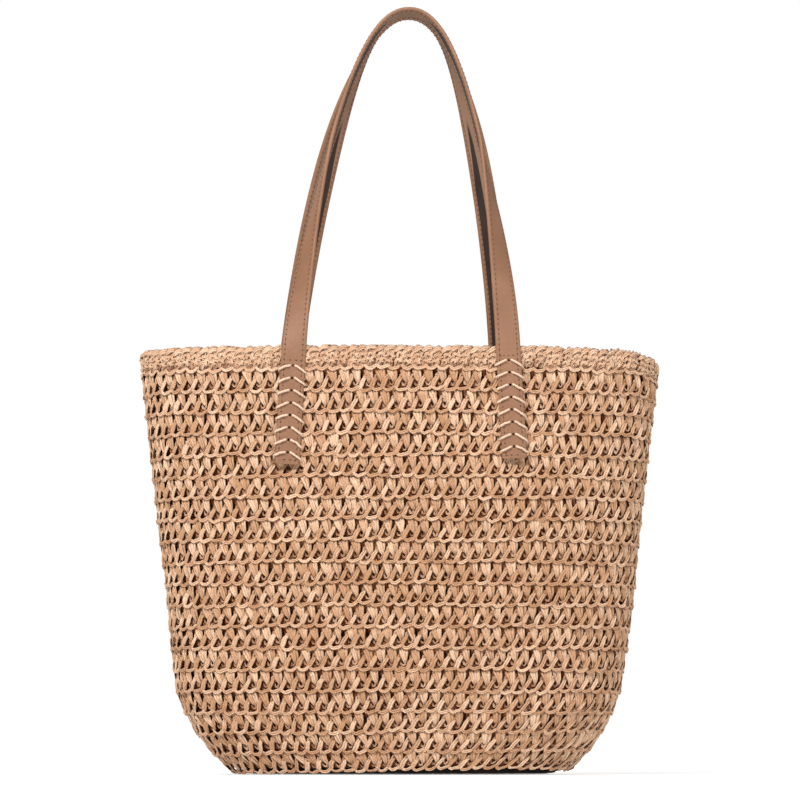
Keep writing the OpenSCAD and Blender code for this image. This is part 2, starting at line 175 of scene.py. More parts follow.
TABLE_G = np.linspace(-0.35, ROUNDS + 1.2, 260)
TABLE_F = 1440
table_z = np.interp(low + (high - low) * TABLE_G / ROUNDS, climb, fine_z)
above = TABLE_G > ROUNDS
table_z[above] = EDGING_Z + (TABLE_G[above] - ROUNDS) * (BAG_H - EDGING_Z)
below = TABLE_G < 0
table_z[below] = FIRST_RIDGE_Z + TABLE_G[below] * 0.012
table_xy = np.zeros((len(TABLE_G), TABLE_F + 1, 3))
table_girth = np.zeros(len(TABLE_G))
dense = np.linspace(0.0, 1.0, 6001)
for row, z in enumerate(table_z):
    wide, deep = wall_half(max(z, 0.0))
    x, y = plan_curve(wide, deep, dense)
    run = np.concatenate([[0.0], np.cumsum(np.hypot(np.diff(x), np.diff(y)))])
    table_girth[row] = run[-1]
    even = np.interp(np.linspace(0, run[-1], TABLE_F + 1), run, np.arange(len(dense)))
    table_xy[row, :, 0] = np.interp(even, np.arange(len(dense)), x)
    table_xy[row, :, 1] = np.interp(even, np.arange(len(dense)), y)
    table_xy[row, :, 2] = z
along = np.gradient(table_xy, axis=1)
along[:, 0] = along[:, -1] = (table_xy[:, 1] - table_xy[:, -2])
upward = np.gradient(table_xy, axis=0)
table_out = np.cross(along, upward)
table_out /= np.linalg.norm(table_out, axis=2, keepdims=True)
WORN_FROM_X, WORN_FROM_Z, WORN_DOWN = 0.184, 0.24, 0.0085


def on_bag(f, g, w):
    """Places on the bag's outside: f is the turn, g the height in rounds, and w the metres outwards."""
    f = np.mod(f, 1.0) * TABLE_F
    g = np.clip((g - TABLE_G[0]) / (TABLE_G[1] - TABLE_G[0]), 0, len(TABLE_G) - 1.001)
    i, j = g.astype(int), np.minimum(f.astype(int), TABLE_F - 1)
    a, b = (g - i)[..., None], (f - j)[..., None]

    def between(t):
        return (t[i, j] * (1 - a) * (1 - b) + t[i + 1, j] * a * (1 - b)
                + t[i, j + 1] * (1 - a) * b + t[i + 1, j + 1] * a * b)

    place = between(table_xy) + between(table_out) * w[..., None]
    # The rim is worn down a little at the right hand corner
    corner = np.clip((place[..., 0] - WORN_FROM_X) / 0.028, 0, 1) ** 2
    place[..., 2] -= WORN_DOWN * corner * np.clip((place[..., 2] - WORN_FROM_Z) / 0.10, 0, 1)
    return place


def smooth_path(points, count):
    """A smooth line through the given points, with count points on it."""
    p = np.array(points, float)
    p = np.vstack([2 * p[0] - p[1], p, 2 * p[-1] - p[-2]])
    out = []
    for t in np.linspace(0, len(p) - 3 - 1e-6, count):
        k = int(t)
        u = t - k
        a, b, c, d = p[k], p[k + 1], p[k + 2], p[k + 3]
        out.append(0.5 * (2 * b + (c - a) * u + (2 * a - 5 * b + 4 * c - d) * u * u
                          + (3 * b - a - 3 * c + d) * u ** 3))
    return np.array(out)


# Across a folded ribbon: two raised folds with a crease between them, and a back
RIBBON = np.array([(-1, -0.15), (-0.55, 0.62), (0.06, -0.02), (0.52, 0.58), (1, -0.10), (0.0, -0.60)])


def unit(vectors):
    """The same directions with a length of 1."""
    return vectors / np.linalg.norm(vectors, axis=-1, keepdims=True)


def length_along(line):
    """How far along a line of points each of them lies."""
    return np.concatenate([[0], np.cumsum(np.linalg.norm(np.diff(line, axis=0), axis=1))])


def straw_strand(points, widths, thick, rings, tilt):
    """One short run of folded ribbon in millimetres, as points, faces and a place along and across."""
    path = smooth_path(points, rings)
    width = np.interp(np.linspace(0, 1, rings), np.linspace(0, 1, len(widths)), widths)
    tangent = unit(np.gradient(path, axis=0))
    face = unit(np.array([0.0, 0.0, 1.0]) - tangent * tangent[:, 2:3])
    side = np.cross(tangent, face)
    turn = np.radians(tilt)
    across = side * np.cos(turn) + face * np.sin(turn)
    face = face * np.cos(turn) - side * np.sin(turn)
    n = len(RIBBON)
    points = (path[:, None] + across[:, None] * (RIBBON[None, :, :1] * width[:, None, None] / 2)
              + face[:, None] * (RIBBON[None, :, 1:] * thick)).reshape(-1, 3)
    faces = [(r * n + k, r * n + (k + 1) % n, (r + 1) * n + (k + 1) % n, (r + 1) * n + k)
             for r in range(rings - 1) for k in range(n)]
    faces += [(3, 2, 5, 4), (2, 1, 0, 5)]
    last = (rings - 1) * n
    faces += [(last, last + 1, last + 2, last + 5), (last + 2, last + 3, last + 4, last + 5)]
    place = np.stack([np.repeat(length_along(path), n), np.tile(np.arange(n) / n, rings)], axis=1)
    return points, np.array(faces), place


# One stitch, as its strands: points across, up and out, in stitch widths, round heights and mm.
# Across is 0 at a peak of the ridge below and 1 at the next.
STITCH = (
    ("ridge", ((-0.06, 0.09, 0.8), (0.05, 0.06, 1.8), (0.18, -0.03, 2.3), (0.38, -0.07, 2.4),
               (0.66, -0.035, 2.4), (0.90, 0.04, 2.4), (1.06, 0.10, 1.2)),
     (1.7, 2.4, 2.9, 3.0, 2.8, 1.9), 0.95, 9),
    ("wedge", ((0.50, 0.99, -1.0), (0.57, 0.87, 0.6), (0.68, 0.71, 1.3), (0.80, 0.53, 1.3), (0.90, 0.36, 0.8),
               (0.97, 0.20, -0.9)), (3.4, 4.3, 4.6, 4.2, 3.2, 1.8), 0.9, 7),
    ("flank", ((0.90, 1.04, -1.0), (0.94, 0.88, 0.8), (0.97, 0.70, 1.2), (1.00, 0.52, 1.0), (1.01, 0.36, 0.4),
               (1.01, 0.23, -1.1)), (3.6, 4.5, 4.4, 3.8, 2.8, 1.7), 0.9, 7),
    ("riser", ((-0.28, -0.05, 0.7), (-0.10, 0.00, 1.5), (0.05, 0.11, 1.8), (0.18, 0.25, 1.8),
               (0.31, 0.39, 1.6), (0.42, 0.51, 1.0), (0.50, 0.60, -0.5)),
     (2.0, 3.2, 4.2, 4.5, 4.2, 3.4, 2.3), 1.0, 8),
    ("curl", ((0.30, 0.34, 0.0), (0.34, 0.52, 0.9), (0.42, 0.66, 1.2), (0.53, 0.67, 1.0), (0.60, 0.54, 0.6),
              (0.58, 0.40, -0.4)), (1.5, 1.7, 1.6, 1.6, 1.7, 1.5), 0.8, 8),
    ("nip", ((0.50, 0.40, -1.4), (0.58, 0.25, -0.1), (0.71, 0.15, 0.5), (0.86, 0.20, 0.7), (0.95, 0.33, 0.1)),
     (1.5, 1.8, 1.9, 1.7, 1.4), 0.7, 6),
    ("fold", ((0.24, 1.00, -2.0), (0.30, 0.84, -1.3), (0.36, 0.68, -1.1), (0.42, 0.52, -1.8)),
     (2.2, 2.6, 2.6, 2.0), 0.7, 5),
    ("under", ((0.66, 0.60, -2.2), (0.78, 0.42, -1.7), (0.92, 0.24, -1.6), (1.02, 0.10, -2.2)),
     (3.2, 3.4, 3.2, 2.6), 0.6, 4),
    ("tuck", ((0.30, 0.30, -2.0), (0.44, 0.15, -1.2), (0.66, 0.03, -1.2)), (3.2, 3.4, 2.8), 0.6, 3),
)
KINDS = 9
WIDTH_VARIES = (0.86, 1.14)


def vary_stitch(parts, width, height, loose, tilt):
    """Loose versions of each strand in a stitch: their points, faces and places along the straw."""
    kinds = {}
    size = np.array([width * 1000, height * 1000, 1.0])
    for part, line, widths, thick, rings in parts:
        made = []
        for kind in range(KINDS):
            p = (np.array(line) + seeded.normal(0, 1, (len(line), 3)) * np.array(loose)) * size
            wide = np.array(widths) * seeded.uniform(*WIDTH_VARIES)
            made.append(straw_strand(p, wide, thick, rings, seeded.uniform(-tilt, tilt)))
        kinds[part] = (np.array([m[0] for m in made]), made[0][1], np.array([m[2] for m in made]))
    return kinds


stitch_kinds = vary_stitch(STITCH, STITCH_W, ROUND_H, (0.028, 0.018, 0.16), 22)
# The lowest rounds rise, and tip up towards the right, by these shares of a round
FOOT_LIFT, FOOT_TIP = 0.085, 0.125


def work_round(g, count, start, parts, surface, heave=None):
    """The strands of one round: points on a surface, faces, places along the straw, tones and depths."""
    strands = []
    n = np.arange(count)
    slip = seeded.normal(0, 0.035, count)
    lift = seeded.normal(0, 0.022, count)
    lift += 0.035 * np.sin(2 * np.pi * (n / count * seeded.integers(3, 7)) + seeded.uniform(0, 6))
    for part in parts:
        shapes, quads, place = stitch_kinds[part]
        pick = seeded.integers(0, KINDS, count)
        p = shapes[pick]
        p[:, :, 0] *= seeded.normal(1.0, 0.05, (count, 1))
        f = (start + n[:, None] + slip[:, None] + p[:, :, 0] / (STITCH_W * 1000)) / count
        up = g + (lift[:, None] + p[:, :, 1] / (ROUND_H * 1000))
        w = (p[:, :, 2] + seeded.normal(0, 0.22, (count, 1))) / 1000
        # Each strand's depth in mm, which the straw materials turn into painted shade
        depth = w * 1000
        if heave is not None:
            up = up + np.clip(1 - g / 4, 0, 1) * (FOOT_LIFT - FOOT_TIP * np.sin(2 * np.pi * f))
            w = w + heave(f, up)
        straw_places = place[pick] + np.stack([seeded.uniform(0, 400, count), n * 1.0], axis=1)[:, None]
        strands.append((surface(f, up, w), quads, straw_places, seeded.uniform(0, 1, count), depth))
    return strands


def new_object(name, points, faces):
    """An object in the scene from its points and faces."""
    mesh = bpy.data.meshes.new(name)
    mesh.from_pydata(points, [], faces)
    made = bpy.data.objects.new(name, mesh)
    bpy.context.collection.objects.link(made)
    return made


def lay_uv(mesh, name, places, faces):
    """A UV map from one place for each point."""
    mesh.uv_layers.new(name=name).data.foreach_set("uv", places[faces.reshape(-1)].astype(np.float32).ravel())


PRESSED_BELOW, FLOOR_GAP = 0.0015, 0.0003


def straw_piece(name, strands, material):
    """One object from the strands of some rounds, with the straw's UV map, each one's tone and its depth."""
    points, faces, places, tones, depths, used = [], [], [], [], [], 0
    for p, quads, straw_places, tone, depth in strands:
        count, size = p.shape[:2]
        points.append(p.reshape(-1, 3))
        faces.append((quads[None] + (np.arange(count) * size)[:, None, None]).reshape(-1, 4) + used)
        places.append(straw_places.reshape(-1, 2))
        tones.append(np.repeat(tone, size))
        depths.append(depth.ravel())
        used += count * size
    faces = np.concatenate(faces)
    points = np.concatenate(points)
    # The lowest stitches are pressed flat where the bag stands on them
    low = points[:, 2] < PRESSED_BELOW
    squeezed = PRESSED_BELOW - FLOOR_GAP
    points[low, 2] = FLOOR_GAP + squeezed * np.exp((points[low, 2] - PRESSED_BELOW) / squeezed)
    piece = new_object(name, points, faces)
    lay_uv(piece.data, "straw", np.concatenate(places), faces)
    for attribute, values in (("strand_tone", tones), ("strand_depth", depths)):
        made = piece.data.attributes.new(attribute, "FLOAT", "POINT")
        made.data.foreach_set("value", np.concatenate(values).astype(np.float32))
    piece.data.shade_smooth()
    piece.data.set_sharp_from_angle(angle=math.radians(36))
    piece.data.materials.append(material)
    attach(piece, "bag")
    return piece


# Where the laced tabs lie on the wall, and how far down their ends are
TAB_X, TAB_REACH, TAB_END, RIGHT_TAB_HIGHER = 0.0935, 0.0125, 0.0972, 0.0048


def wall_heave(f, g):
    """Slow swells of the soft wall, in metres, and the hollows that the laced tabs press in it."""
    place = on_bag(f, g, np.zeros(np.shape(f)))
    across = np.abs(np.abs(place[..., 0]) - TAB_X)
    down = HINGE_Z - place[..., 2] + RIGHT_TAB_HIGHER * (place[..., 0] > 0)
    pressed = np.clip((TAB_REACH - across) / 0.003, 0, 1) * np.clip((0.1010 - down) / 0.001, 0, 1)
    ended = np.clip((0.0042 - np.abs(down - TAB_END)) / 0.002, 0, 1)
    slow = (np.sin(2 * np.pi * (3 * f + 0.11 * g)) + 0.7 * np.sin(2 * np.pi * (5 * f - 0.07 * g) + 1.3)
            + 0.5 * np.sin(2 * np.pi * (2 * f + 0.19 * g) + 2.1))
    swell = 0.00055 * slow * np.clip((ROUNDS - 7 - g) / 5, 0, 1) * np.clip(g / 2, 0, 1)
    return swell - pressed * (0.0007 + 0.0026 * ended)


# Grain and creases of folded paper straw, with painted highlights and painted shade across its folds, used by
# each straw material
straw_grain = bpy.data.node_groups.new("straw_grain", "ShaderNodeTree")
for socket, value in (("Fibre scale", 1.0), ("Patch scale", 9.0)):
    made = straw_grain.interface.new_socket(socket, in_out="INPUT", socket_type="NodeSocketFloat")
    made.default_value = value
for socket in ("Tone", "Crease", "Fold light"):
    straw_grain.interface.new_socket(socket, in_out="OUTPUT", socket_type="NodeSocketFloat")


def add_ramp(tree, factor, stops):
    """The colour that a ramp of stops, each a position and a colour, has at a factor."""
    ramp = add_node(tree, "ValToRGB", {"Fac": factor})
    elements = ramp.color_ramp.elements
    for element, (position, colour) in ((elements[0], stops[0]), (elements[1], stops[-1])):
        element.position = position
        element.color = (*colour, 1.0)
    for position, colour in stops[1:-1]:
        elements.new(position).color = (*colour, 1.0)
    return ramp.outputs["Color"]


def weigh(tree, value, share, other=0.0):
    """A value times its share, added to another value."""
    return add_node(tree, "Math", {0: value, 1: share, 2: other}, operation="MULTIPLY_ADD").outputs[0]


scales = straw_grain.nodes.new("NodeGroupInput").outputs
straw_uv = add_node(straw_grain, "UVMap", uv_map="straw").outputs["UV"]
stretch = add_node(straw_grain, "Mapping", {"Vector": straw_uv, "Scale": (0.28, 9.0, 1.0)})
fibre = add_node(straw_grain, "TexNoise", {"Vector": stretch.outputs["Vector"], "Detail": 3.0,
                                           "Roughness": 0.6, "Scale": scales["Fibre scale"]}).outputs["Fac"]
where = add_node(straw_grain, "TexCoord").outputs["Object"]
patch = add_node(straw_grain, "TexNoise", {"Vector": where, "Scale": scales["Patch scale"], "Detail": 2.0})
strand = add_node(straw_grain, "Attribute", attribute_name="strand_tone")
patch_and_fibre = weigh(straw_grain, fibre, 0.62, weigh(straw_grain, patch.outputs["Fac"], 0.14))
straw_tone = weigh(straw_grain, strand.outputs["Fac"], 0.28, patch_and_fibre)
# Across the ribbon: painted highlights on its two folds, and painted shade in the crease, on the edges and on
# the back
FOLD_LIGHT_LEVELS = ((0.0, 0.34), (0.07, 0.80), (0.15, 1.0), (0.29, 0.94), (0.335, 0.70), (0.38, 0.94), (0.52, 1.0),
               (0.60, 0.78), (0.68, 0.34), (1.0, 0.34))
split_uv = add_node(straw_grain, "SeparateXYZ", {0: straw_uv})
across_ribbon = add_node(straw_grain, "Math", {0: split_uv.outputs["Y"]}, operation="FRACT")
fold_light_greys = [(place, (level,) * 3) for place, level in FOLD_LIGHT_LEVELS]
fold = add_ramp(straw_grain, across_ribbon.outputs[0], fold_light_greys)
set_inputs(straw_grain, straw_grain.nodes.new("NodeGroupOutput"),
           {"Tone": straw_tone, "Crease": fibre, "Fold light": fold})


def new_material(name):
    """A material with the standard nodes, its node tree and its shader."""
    material = bpy.data.materials.new(name)
    material.use_nodes = True
    return material, material.node_tree, material.node_tree.nodes["Principled BSDF"]


def straw_material(name, dark, middle, pale):
    material, tree, skin = new_material(name)
    grain = add_node(tree, "Group", node_tree=straw_grain).outputs
    colours = add_ramp(tree, grain["Tone"], ((0.24, dark), (0.49, middle), (0.74, pale)))
    # Painted shade: strands lying deeper in the stitch get a darker, redder colour, standing for the shade in
    # the recesses
    depth = add_node(tree, "Attribute", attribute_name="strand_depth")
    recess = add_node(tree, "MapRange", {"Value": depth.outputs["Fac"], "From Min": -1.2, "From Max": 1.2})
    shade = add_ramp(tree, recess.outputs["Result"], ((0.0, (0.30, 0.12, 0.04)), (1.0, (1.0, 1.0, 1.0))))
    tinted = add_node(tree, "VectorMath", {0: colours, 1: shade}, operation="MULTIPLY").outputs["Vector"]
    # The strand colours take the painted highlights and painted shade across the ribbon
    folded = add_node(tree, "VectorMath", {0: tinted, "Scale": grain["Fold light"]}, operation="SCALE")
    relief = add_node(tree, "Bump", {"Strength": 0.8, "Distance": 0.00035, "Height": grain["Crease"]})
    set_inputs(tree, skin, {"Roughness": 0.70, "Specular IOR Level": 0.15,
                            "Base Color": folded.outputs["Vector"], "Normal": relief.outputs["Normal"]})
    return material


tan_straw = straw_material("tan_straw", (0.51, 0.255, 0.112), (0.67, 0.395, 0.235), (0.98, 0.71, 0.50))
# The same straw much darker: painted shade, for the inner loops seen through the gaps
shaded_straw = straw_material("shaded_straw", (0.13, 0.04, 0.01), (0.21, 0.075, 0.022), (0.32, 0.125, 0.042))
wall_parts = [part[0] for part in STITCH]
start = 0.0
for first in range(0, ROUNDS, 3):
    strands = []
    for g in range(first, min(first + 3, ROUNDS)):
        count = int(round(np.interp(g + 0.5, TABLE_G, table_girth) / STITCH_W))
        strands += work_round(g, count, start, wall_parts, on_bag, wall_heave)
        start = seeded.uniform(-0.12, 0.12)
    straw_piece(f"crochet_rounds_{first + 1}", strands, tan_straw)
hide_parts("crochet_wall")


def grid_faces(rows, cols, closed=True):
    """A grid's points by row, the point after each of them, and the faces between the rows."""
    k = np.arange(rows * cols).reshape(rows, cols)
    after = np.roll(k, -1, axis=1)
    if not closed:
        k, after = k[:, :-1], after[:, :-1]
    return k, after, np.stack([k[:-1], after[:-1], after[1:], k[1:]], axis=-1).reshape(-1, 4)


# The inner loops of the same stitches, behind the outer ones; their dark colour is painted shade
INNER_DEPTH, INNER_THICK = 0.0034, 0.0014
across = np.linspace(0.0, 1.0, 241)[:-1]
levels = np.linspace(-0.34, ROUNDS + 0.84, 80)
f, g = np.meshgrid(across, levels)
ripple = 0.0006 * np.sin(2 * np.pi * g) + 0.0005 * np.sin(2 * np.pi * (across.size * 0.4 * f + 0.5 * g))
outer = on_bag(f, g, -INNER_DEPTH + ripple)
inner = on_bag(f, g, np.full(f.shape, -INNER_DEPTH - INNER_THICK))
rows, around = f.shape
k, after, skin = grid_faces(rows, around)
back = skin[:, ::-1] + rows * around
foot = np.stack([k[0], k[0] + rows * around, after[0] + rows * around, after[0]], axis=-1)
brim = np.stack([k[-1], after[-1], after[-1] + rows * around, k[-1] + rows * around], axis=-1)
faces = np.concatenate([skin, back, foot, brim])
points = np.concatenate([outer.reshape(-1, 3), inner.reshape(-1, 3)])
inner_loops = new_object("crochet_inner_loops", points, faces)
places = np.stack([np.tile(f.ravel(), 2) * 960, np.tile(g.ravel(), 2) * 3], axis=1)
lay_uv(inner_loops.data, "straw", places, faces)
tone = inner_loops.data.attributes.new("strand_tone", "FLOAT", "POINT")
tone.data.foreach_set("value", seeded.uniform(0, 1, 2 * rows * around).astype(np.float32))
inner_loops.data.shade_smooth()
inner_loops.data.materials.append(shaded_straw)
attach(inner_loops, "bag")

# ---- Rim edging: a last tight round of small loops, with a chain lying over the top edge ----
# It is worked with the same straw but shorter stitches, so it looks denser; its paler colour is painted
# light.
EDGING_STITCH_W = 0.0076
EDGING_H = BAG_H - EDGING_Z


def edging_curl(across, up, reach, rise, begin, sweep):
    """A small hook of straw: it turns through sweep degrees and draws in to its own middle."""
    turns = np.radians(begin + sweep * np.linspace(0, 1, 7))
    draw = np.linspace(1.0, 0.45, 7)
    lifts = (-0.2, 0.9, 1.4, 1.6, 1.5, 1.2, 0.3)
    return [(across + reach * d * math.cos(t), up + rise * d * math.sin(t), w)
            for t, d, w in zip(turns, draw, lifts)]


CURL_WIDTHS = (1.8, 2.4, 2.6, 2.6, 2.4, 2.0, 1.6)
EDGING = (
    ("post", ((-0.20, 0.04, -0.6), (0.00, 0.24, -0.1), (0.14, 0.46, 0.0), (0.26, 0.70, 0.0),
              (0.34, 0.92, 0.0)), (4.2, 4.8, 4.6, 4.4, 4.0), 0.7, 6),
    ("second_post", ((0.34, 0.02, -0.8), (0.50, 0.24, -0.3), (0.64, 0.48, -0.2), (0.74, 0.72, -0.2),
                     (0.82, 0.94, -0.2)), (4.2, 4.8, 4.6, 4.4, 4.0), 0.7, 6),
    ("low_curl", edging_curl(0.12, 0.28, 0.30, 0.15, 200, -270), CURL_WIDTHS, 0.75, 9),
    ("low_hook", edging_curl(0.62, 0.34, 0.30, 0.15, 20, 260), CURL_WIDTHS, 0.75, 9),
    ("high_curl", edging_curl(0.34, 0.60, 0.30, 0.15, 240, -280), CURL_WIDTHS, 0.75, 9),
    ("high_hook", edging_curl(0.86, 0.64, 0.30, 0.15, 60, 260), CURL_WIDTHS, 0.75, 9),
    ("chain", ((-0.20, 0.80, 0.4), (0.04, 0.91, 1.4), (0.36, 0.99, 1.3), (0.72, 1.01, 0.5),
               (1.04, 0.95, -0.8)), (2.6, 3.4, 3.6, 3.4, 2.6), 0.95, 8),
    ("over", ((0.10, 0.95, 0.2), (0.34, 1.05, -1.6), (0.62, 1.06, -4.2), (0.92, 0.98, -6.6)),
     (2.8, 3.8, 3.8, 2.8), 0.9, 7),
    ("second_over", ((0.60, 0.95, 0.0), (0.80, 1.03, -1.8), (1.06, 1.04, -4.2), (1.32, 0.96, -6.4)),
     (2.8, 3.6, 3.6, 2.8), 0.9, 7),
    ("inside", ((-0.10, 0.78, -6.2), (0.16, 0.93, -7.3), (0.60, 0.99, -7.2), (1.05, 0.86, -6.3)),
     (2.8, 3.4, 3.4, 2.8), 0.85, 7),
)
OVER_RIM = ("over", "second_over", "inside")
edging_kinds = vary_stitch(EDGING, EDGING_STITCH_W, EDGING_H, (0.035, 0.022, 0.18), 25)


def work_edging(count):
    """The strands of the edging's round: its stitches are narrower than the wall's and stand 16 mm high."""
    strands = []
    n = np.arange(count)
    slip = seeded.normal(0, 0.05, count)
    lift = seeded.normal(0, 0.03, count) + 0.03 * np.sin(2 * np.pi * n / count * 7)
    for part, (shapes, quads, place) in edging_kinds.items():
        pick = seeded.integers(0, KINDS, count)
        p = shapes[pick]
        f = (n[:, None] + slip[:, None] + p[:, :, 0] / (EDGING_STITCH_W * 1000)) / count
        g = ROUNDS + lift[:, None] + p[:, :, 1] / (EDGING_H * 1000)
        w = (p[:, :, 2] + seeded.normal(0, 0.2, (count, 1))) / 1000
        # The depth sets each strand's painted shade; the strands over the rim get one fixed, light value
        depth = np.full(p.shape[:2], 0.7) if part in OVER_RIM else p[:, :, 2] + 0.3
        straw_places = place[pick] + np.stack([seeded.uniform(0, 400, count), n * 1.0], axis=1)[:, None]
        strands.append((on_bag(f, g, w), quads, straw_places, seeded.uniform(0.1, 1, count), depth))
    return strands


# The same straw made paler: painted light on the edging at the top of the bag
painted_light_straw = straw_material("painted_light_straw", (0.64, 0.365, 0.215), (0.80, 0.51, 0.33), (0.93, 0.68, 0.485))
edging_girth = np.interp(ROUNDS + 0.5, TABLE_G, table_girth)
strands = work_round(ROUNDS, int(round(edging_girth / STITCH_W)), 0.0, ["ridge"], on_bag)
strands += work_edging(int(round(edging_girth / EDGING_STITCH_W)))
edging = straw_piece("rim_edging_stitches", strands, painted_light_straw)
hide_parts("rim_edging")

# ---- Crocheted base: flat rounds that the wall grows from ----
# The bag stands on it, so it is seen only from below and as a dark line along the floor, painted shade on its
# near-black backing.
BASE_ROUND_W = 0.0092
BASE_RINGS = 6
BASE_UNDER = 0.0024
BASE_RELIEF = 0.0021


def on_base(f, g, w):
    """Places on the underside of the base: f is the turn, g the round from the edge inwards."""
    inset = 0.006 + g * BASE_ROUND_W
    wide = np.maximum(BASE_W / 2 - inset, 0.0)
    deep = np.maximum(BASE_D / 2 - inset, 0.0)
    flat = np.stack(plan_curve(wide, deep, np.mod(f, 1.0)), axis=-1)
    return np.concatenate([flat, (BASE_UNDER - np.minimum(w, BASE_RELIEF))[..., None]], axis=-1)


strands = []
for ring in range(BASE_RINGS):
    middle = 0.003 + (ring + 0.5) * BASE_ROUND_W
    outline = plan_curve(BASE_W / 2 - middle, BASE_D / 2 - middle, dense)
    count = max(int(np.sum(np.hypot(*[np.diff(c) for c in outline])) / STITCH_W), 12)
    strands += work_round(ring, count, 0.0, ["ridge", "wedge", "riser", "nip"], on_base)
straw_piece("crochet_base_stitches", strands, tan_straw)


def select_only(*pieces):
    """Select these pieces alone, the first of them as the active one."""
    bpy.ops.object.select_all(action="DESELECT")
    for piece in pieces:
        piece.select_set(True)
    bpy.context.view_layer.objects.active = pieces[0]


def face_outward(piece, merge=None):
    """Turn all the faces of a closed piece outwards, its points closer than merge joined first."""
    select_only(piece)
    bpy.ops.object.mode_set(mode="EDIT")
    bpy.ops.mesh.select_all(action="SELECT")
    if merge:
        bpy.ops.mesh.remove_doubles(threshold=merge)
    bpy.ops.mesh.normals_make_consistent(inside=False)
    bpy.ops.object.mode_set(mode="OBJECT")


turn = np.linspace(0, 1, 145)[:-1]
ring_points = []
for inset, z in [(0.003, 0.0012), (0.0, 0.0018), (0.0, 0.0054), (0.003, 0.0062)]:
    x, y = plan_curve(BASE_W / 2 + 0.001 - inset, BASE_D / 2 + 0.001 - inset, turn)
    ring_points.append(np.stack([x, y, np.full_like(x, z)], axis=-1))
around = len(turn)
k = np.arange(4 * around).reshape(4, around)
after = np.roll(k, -1, axis=1)
faces = np.stack([k[:-1], k[1:], after[1:], after[:-1]], axis=-1).reshape(-1, 4).tolist()
for row, flip in ((0, False), (3, True)):
    for i in range(1, around // 2):
        quad = [k[row][i - 1], k[row][i], k[row][(around - i) % around], k[row][(around - i + 1) % around]]
        cap = [int(q) for q in dict.fromkeys(quad)]
        faces.append(cap[::-1] if flip else cap)
base_back = new_object("crochet_base_back", np.concatenate(ring_points).tolist(), faces)
mesh = base_back.data
straw_map = mesh.uv_layers.new(name="straw")
for loop in mesh.loops:
    v = mesh.vertices[loop.vertex_index].co
    straw_map.data[loop.index].uv = (v.x * 1000, v.y * 100)
mesh.attributes.new("strand_tone", "FLOAT", "POINT")
face_outward(base_back, merge=0.00005)
# Painted shade: the backing under the base stitches is near black, standing for the shadow under the bag's
# foot
base_shade = straw_material("base_shade", (0.016, 0.009, 0.006), (0.026, 0.015, 0.010), (0.040, 0.023, 0.015))
base_back.data.materials.append(base_shade)
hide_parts("crochet_base")
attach(base_back, "bag")

# ---- Lining: a cotton bag sewn in under the edging, with a turned hem ----
# It hangs loose between the seams, so it is slightly creased. Two rows of machine stitches hold its hem.
LINING_INSET = 0.0071
LINING_TOP = 0.333


def cotton_material(name, dark, pale, weave_scale=150.0):
    material, tree, skin = new_material(name)
    cloth_uv = add_node(tree, "UVMap", uv_map="cloth").outputs["UV"]
    woven = {"Vector": cloth_uv, "Scale": weave_scale, "Distortion": 0.6}
    warp = add_node(tree, "TexWave", woven, bands_direction="X")
    weft = add_node(tree, "TexWave", woven, bands_direction="Y")
    weave = add_node(tree, "Math", {0: warp.outputs["Fac"], 1: weft.outputs["Fac"]}, operation="MULTIPLY")
    slub = add_node(tree, "TexNoise", {"Vector": cloth_uv, "Scale": 45.0, "Detail": 4.0})
    blend = weigh(tree, weave.outputs[0], 0.35, slub.outputs["Fac"])
    colours = add_ramp(tree, blend, ((0.3, dark), (0.95, pale)))
    relief = add_node(tree, "Bump", {"Strength": 0.5, "Distance": 0.0002, "Height": blend})
    set_inputs(tree, skin, {"Roughness": 0.88, "Specular IOR Level": 0.2, "Sheen Weight": 0.12,
                            "Base Color": colours, "Normal": relief.outputs["Normal"]})
    return material


def cloth_piece(name, points, uv, closed, thick, material, cover=None):
    """A sheet from a grid of points, given its thickness."""
    rows, cols = points.shape[:2]
    faces = grid_faces(rows, cols, closed)[2]
    if cover is not None:
        faces = faces[cover(points.reshape(-1, 3)[faces].mean(axis=1))]
    piece = new_object(name, points.reshape(-1, 3), faces)
    corner = uv.reshape(-1, 2)[faces.reshape(-1)].reshape(-1, 4, 2)
    if closed:
        wrap = corner[:, 1:3, 0] < corner[:, [0, 3], 0]
        corner[:, 1:3, 0] += wrap * (uv[..., 0].max() + (uv[0, 1, 0] - uv[0, 0, 0]))
    piece.data.uv_layers.new(name="cloth").data.foreach_set("uv", corner.astype(np.float32).ravel())
    select_only(piece)
    bpy.ops.object.mode_set(mode="EDIT")
    bpy.ops.mesh.select_all(action="SELECT")
    bpy.ops.mesh.delete_loose()
    bpy.ops.object.mode_set(mode="OBJECT")
    shell = piece.modifiers.new("thickness", "SOLIDIFY")
    shell.thickness = thick
    shell.offset = 0.0
    bpy.ops.object.modifier_apply(modifier=shell.name)
    piece.data.shade_smooth()
    piece.data.materials.append(material)
    return piece


def round_at(z):
    """The height in rounds of a place near the rim."""
    return ROUNDS + (z - EDGING_Z) / EDGING_H if z > EDGING_Z else ROUNDS - (EDGING_Z - z) / ROUND_H


CLOTH_THICK, CLOTH_GIRTH = 0.0006, 1.02
lining_cotton = cotton_material("lining_cotton", (0.42, 0.32, 0.22), (0.60, 0.49, 0.36))
turn = np.linspace(0, 1, 361)[:-1]
f, g = np.meshgrid(turn, np.linspace(0.55, round_at(LINING_TOP), 64))
from_back = np.minimum(f, 1 - f)
pleat = (0.55 * np.sin(2 * np.pi * (17 * f + 0.25 * np.sin(g * 0.5)))
         + 0.4 * np.sin(2 * np.pi * (29 * f + 0.05 * g)) + 0.5 * np.sin(0.9 * g + 9 * f))
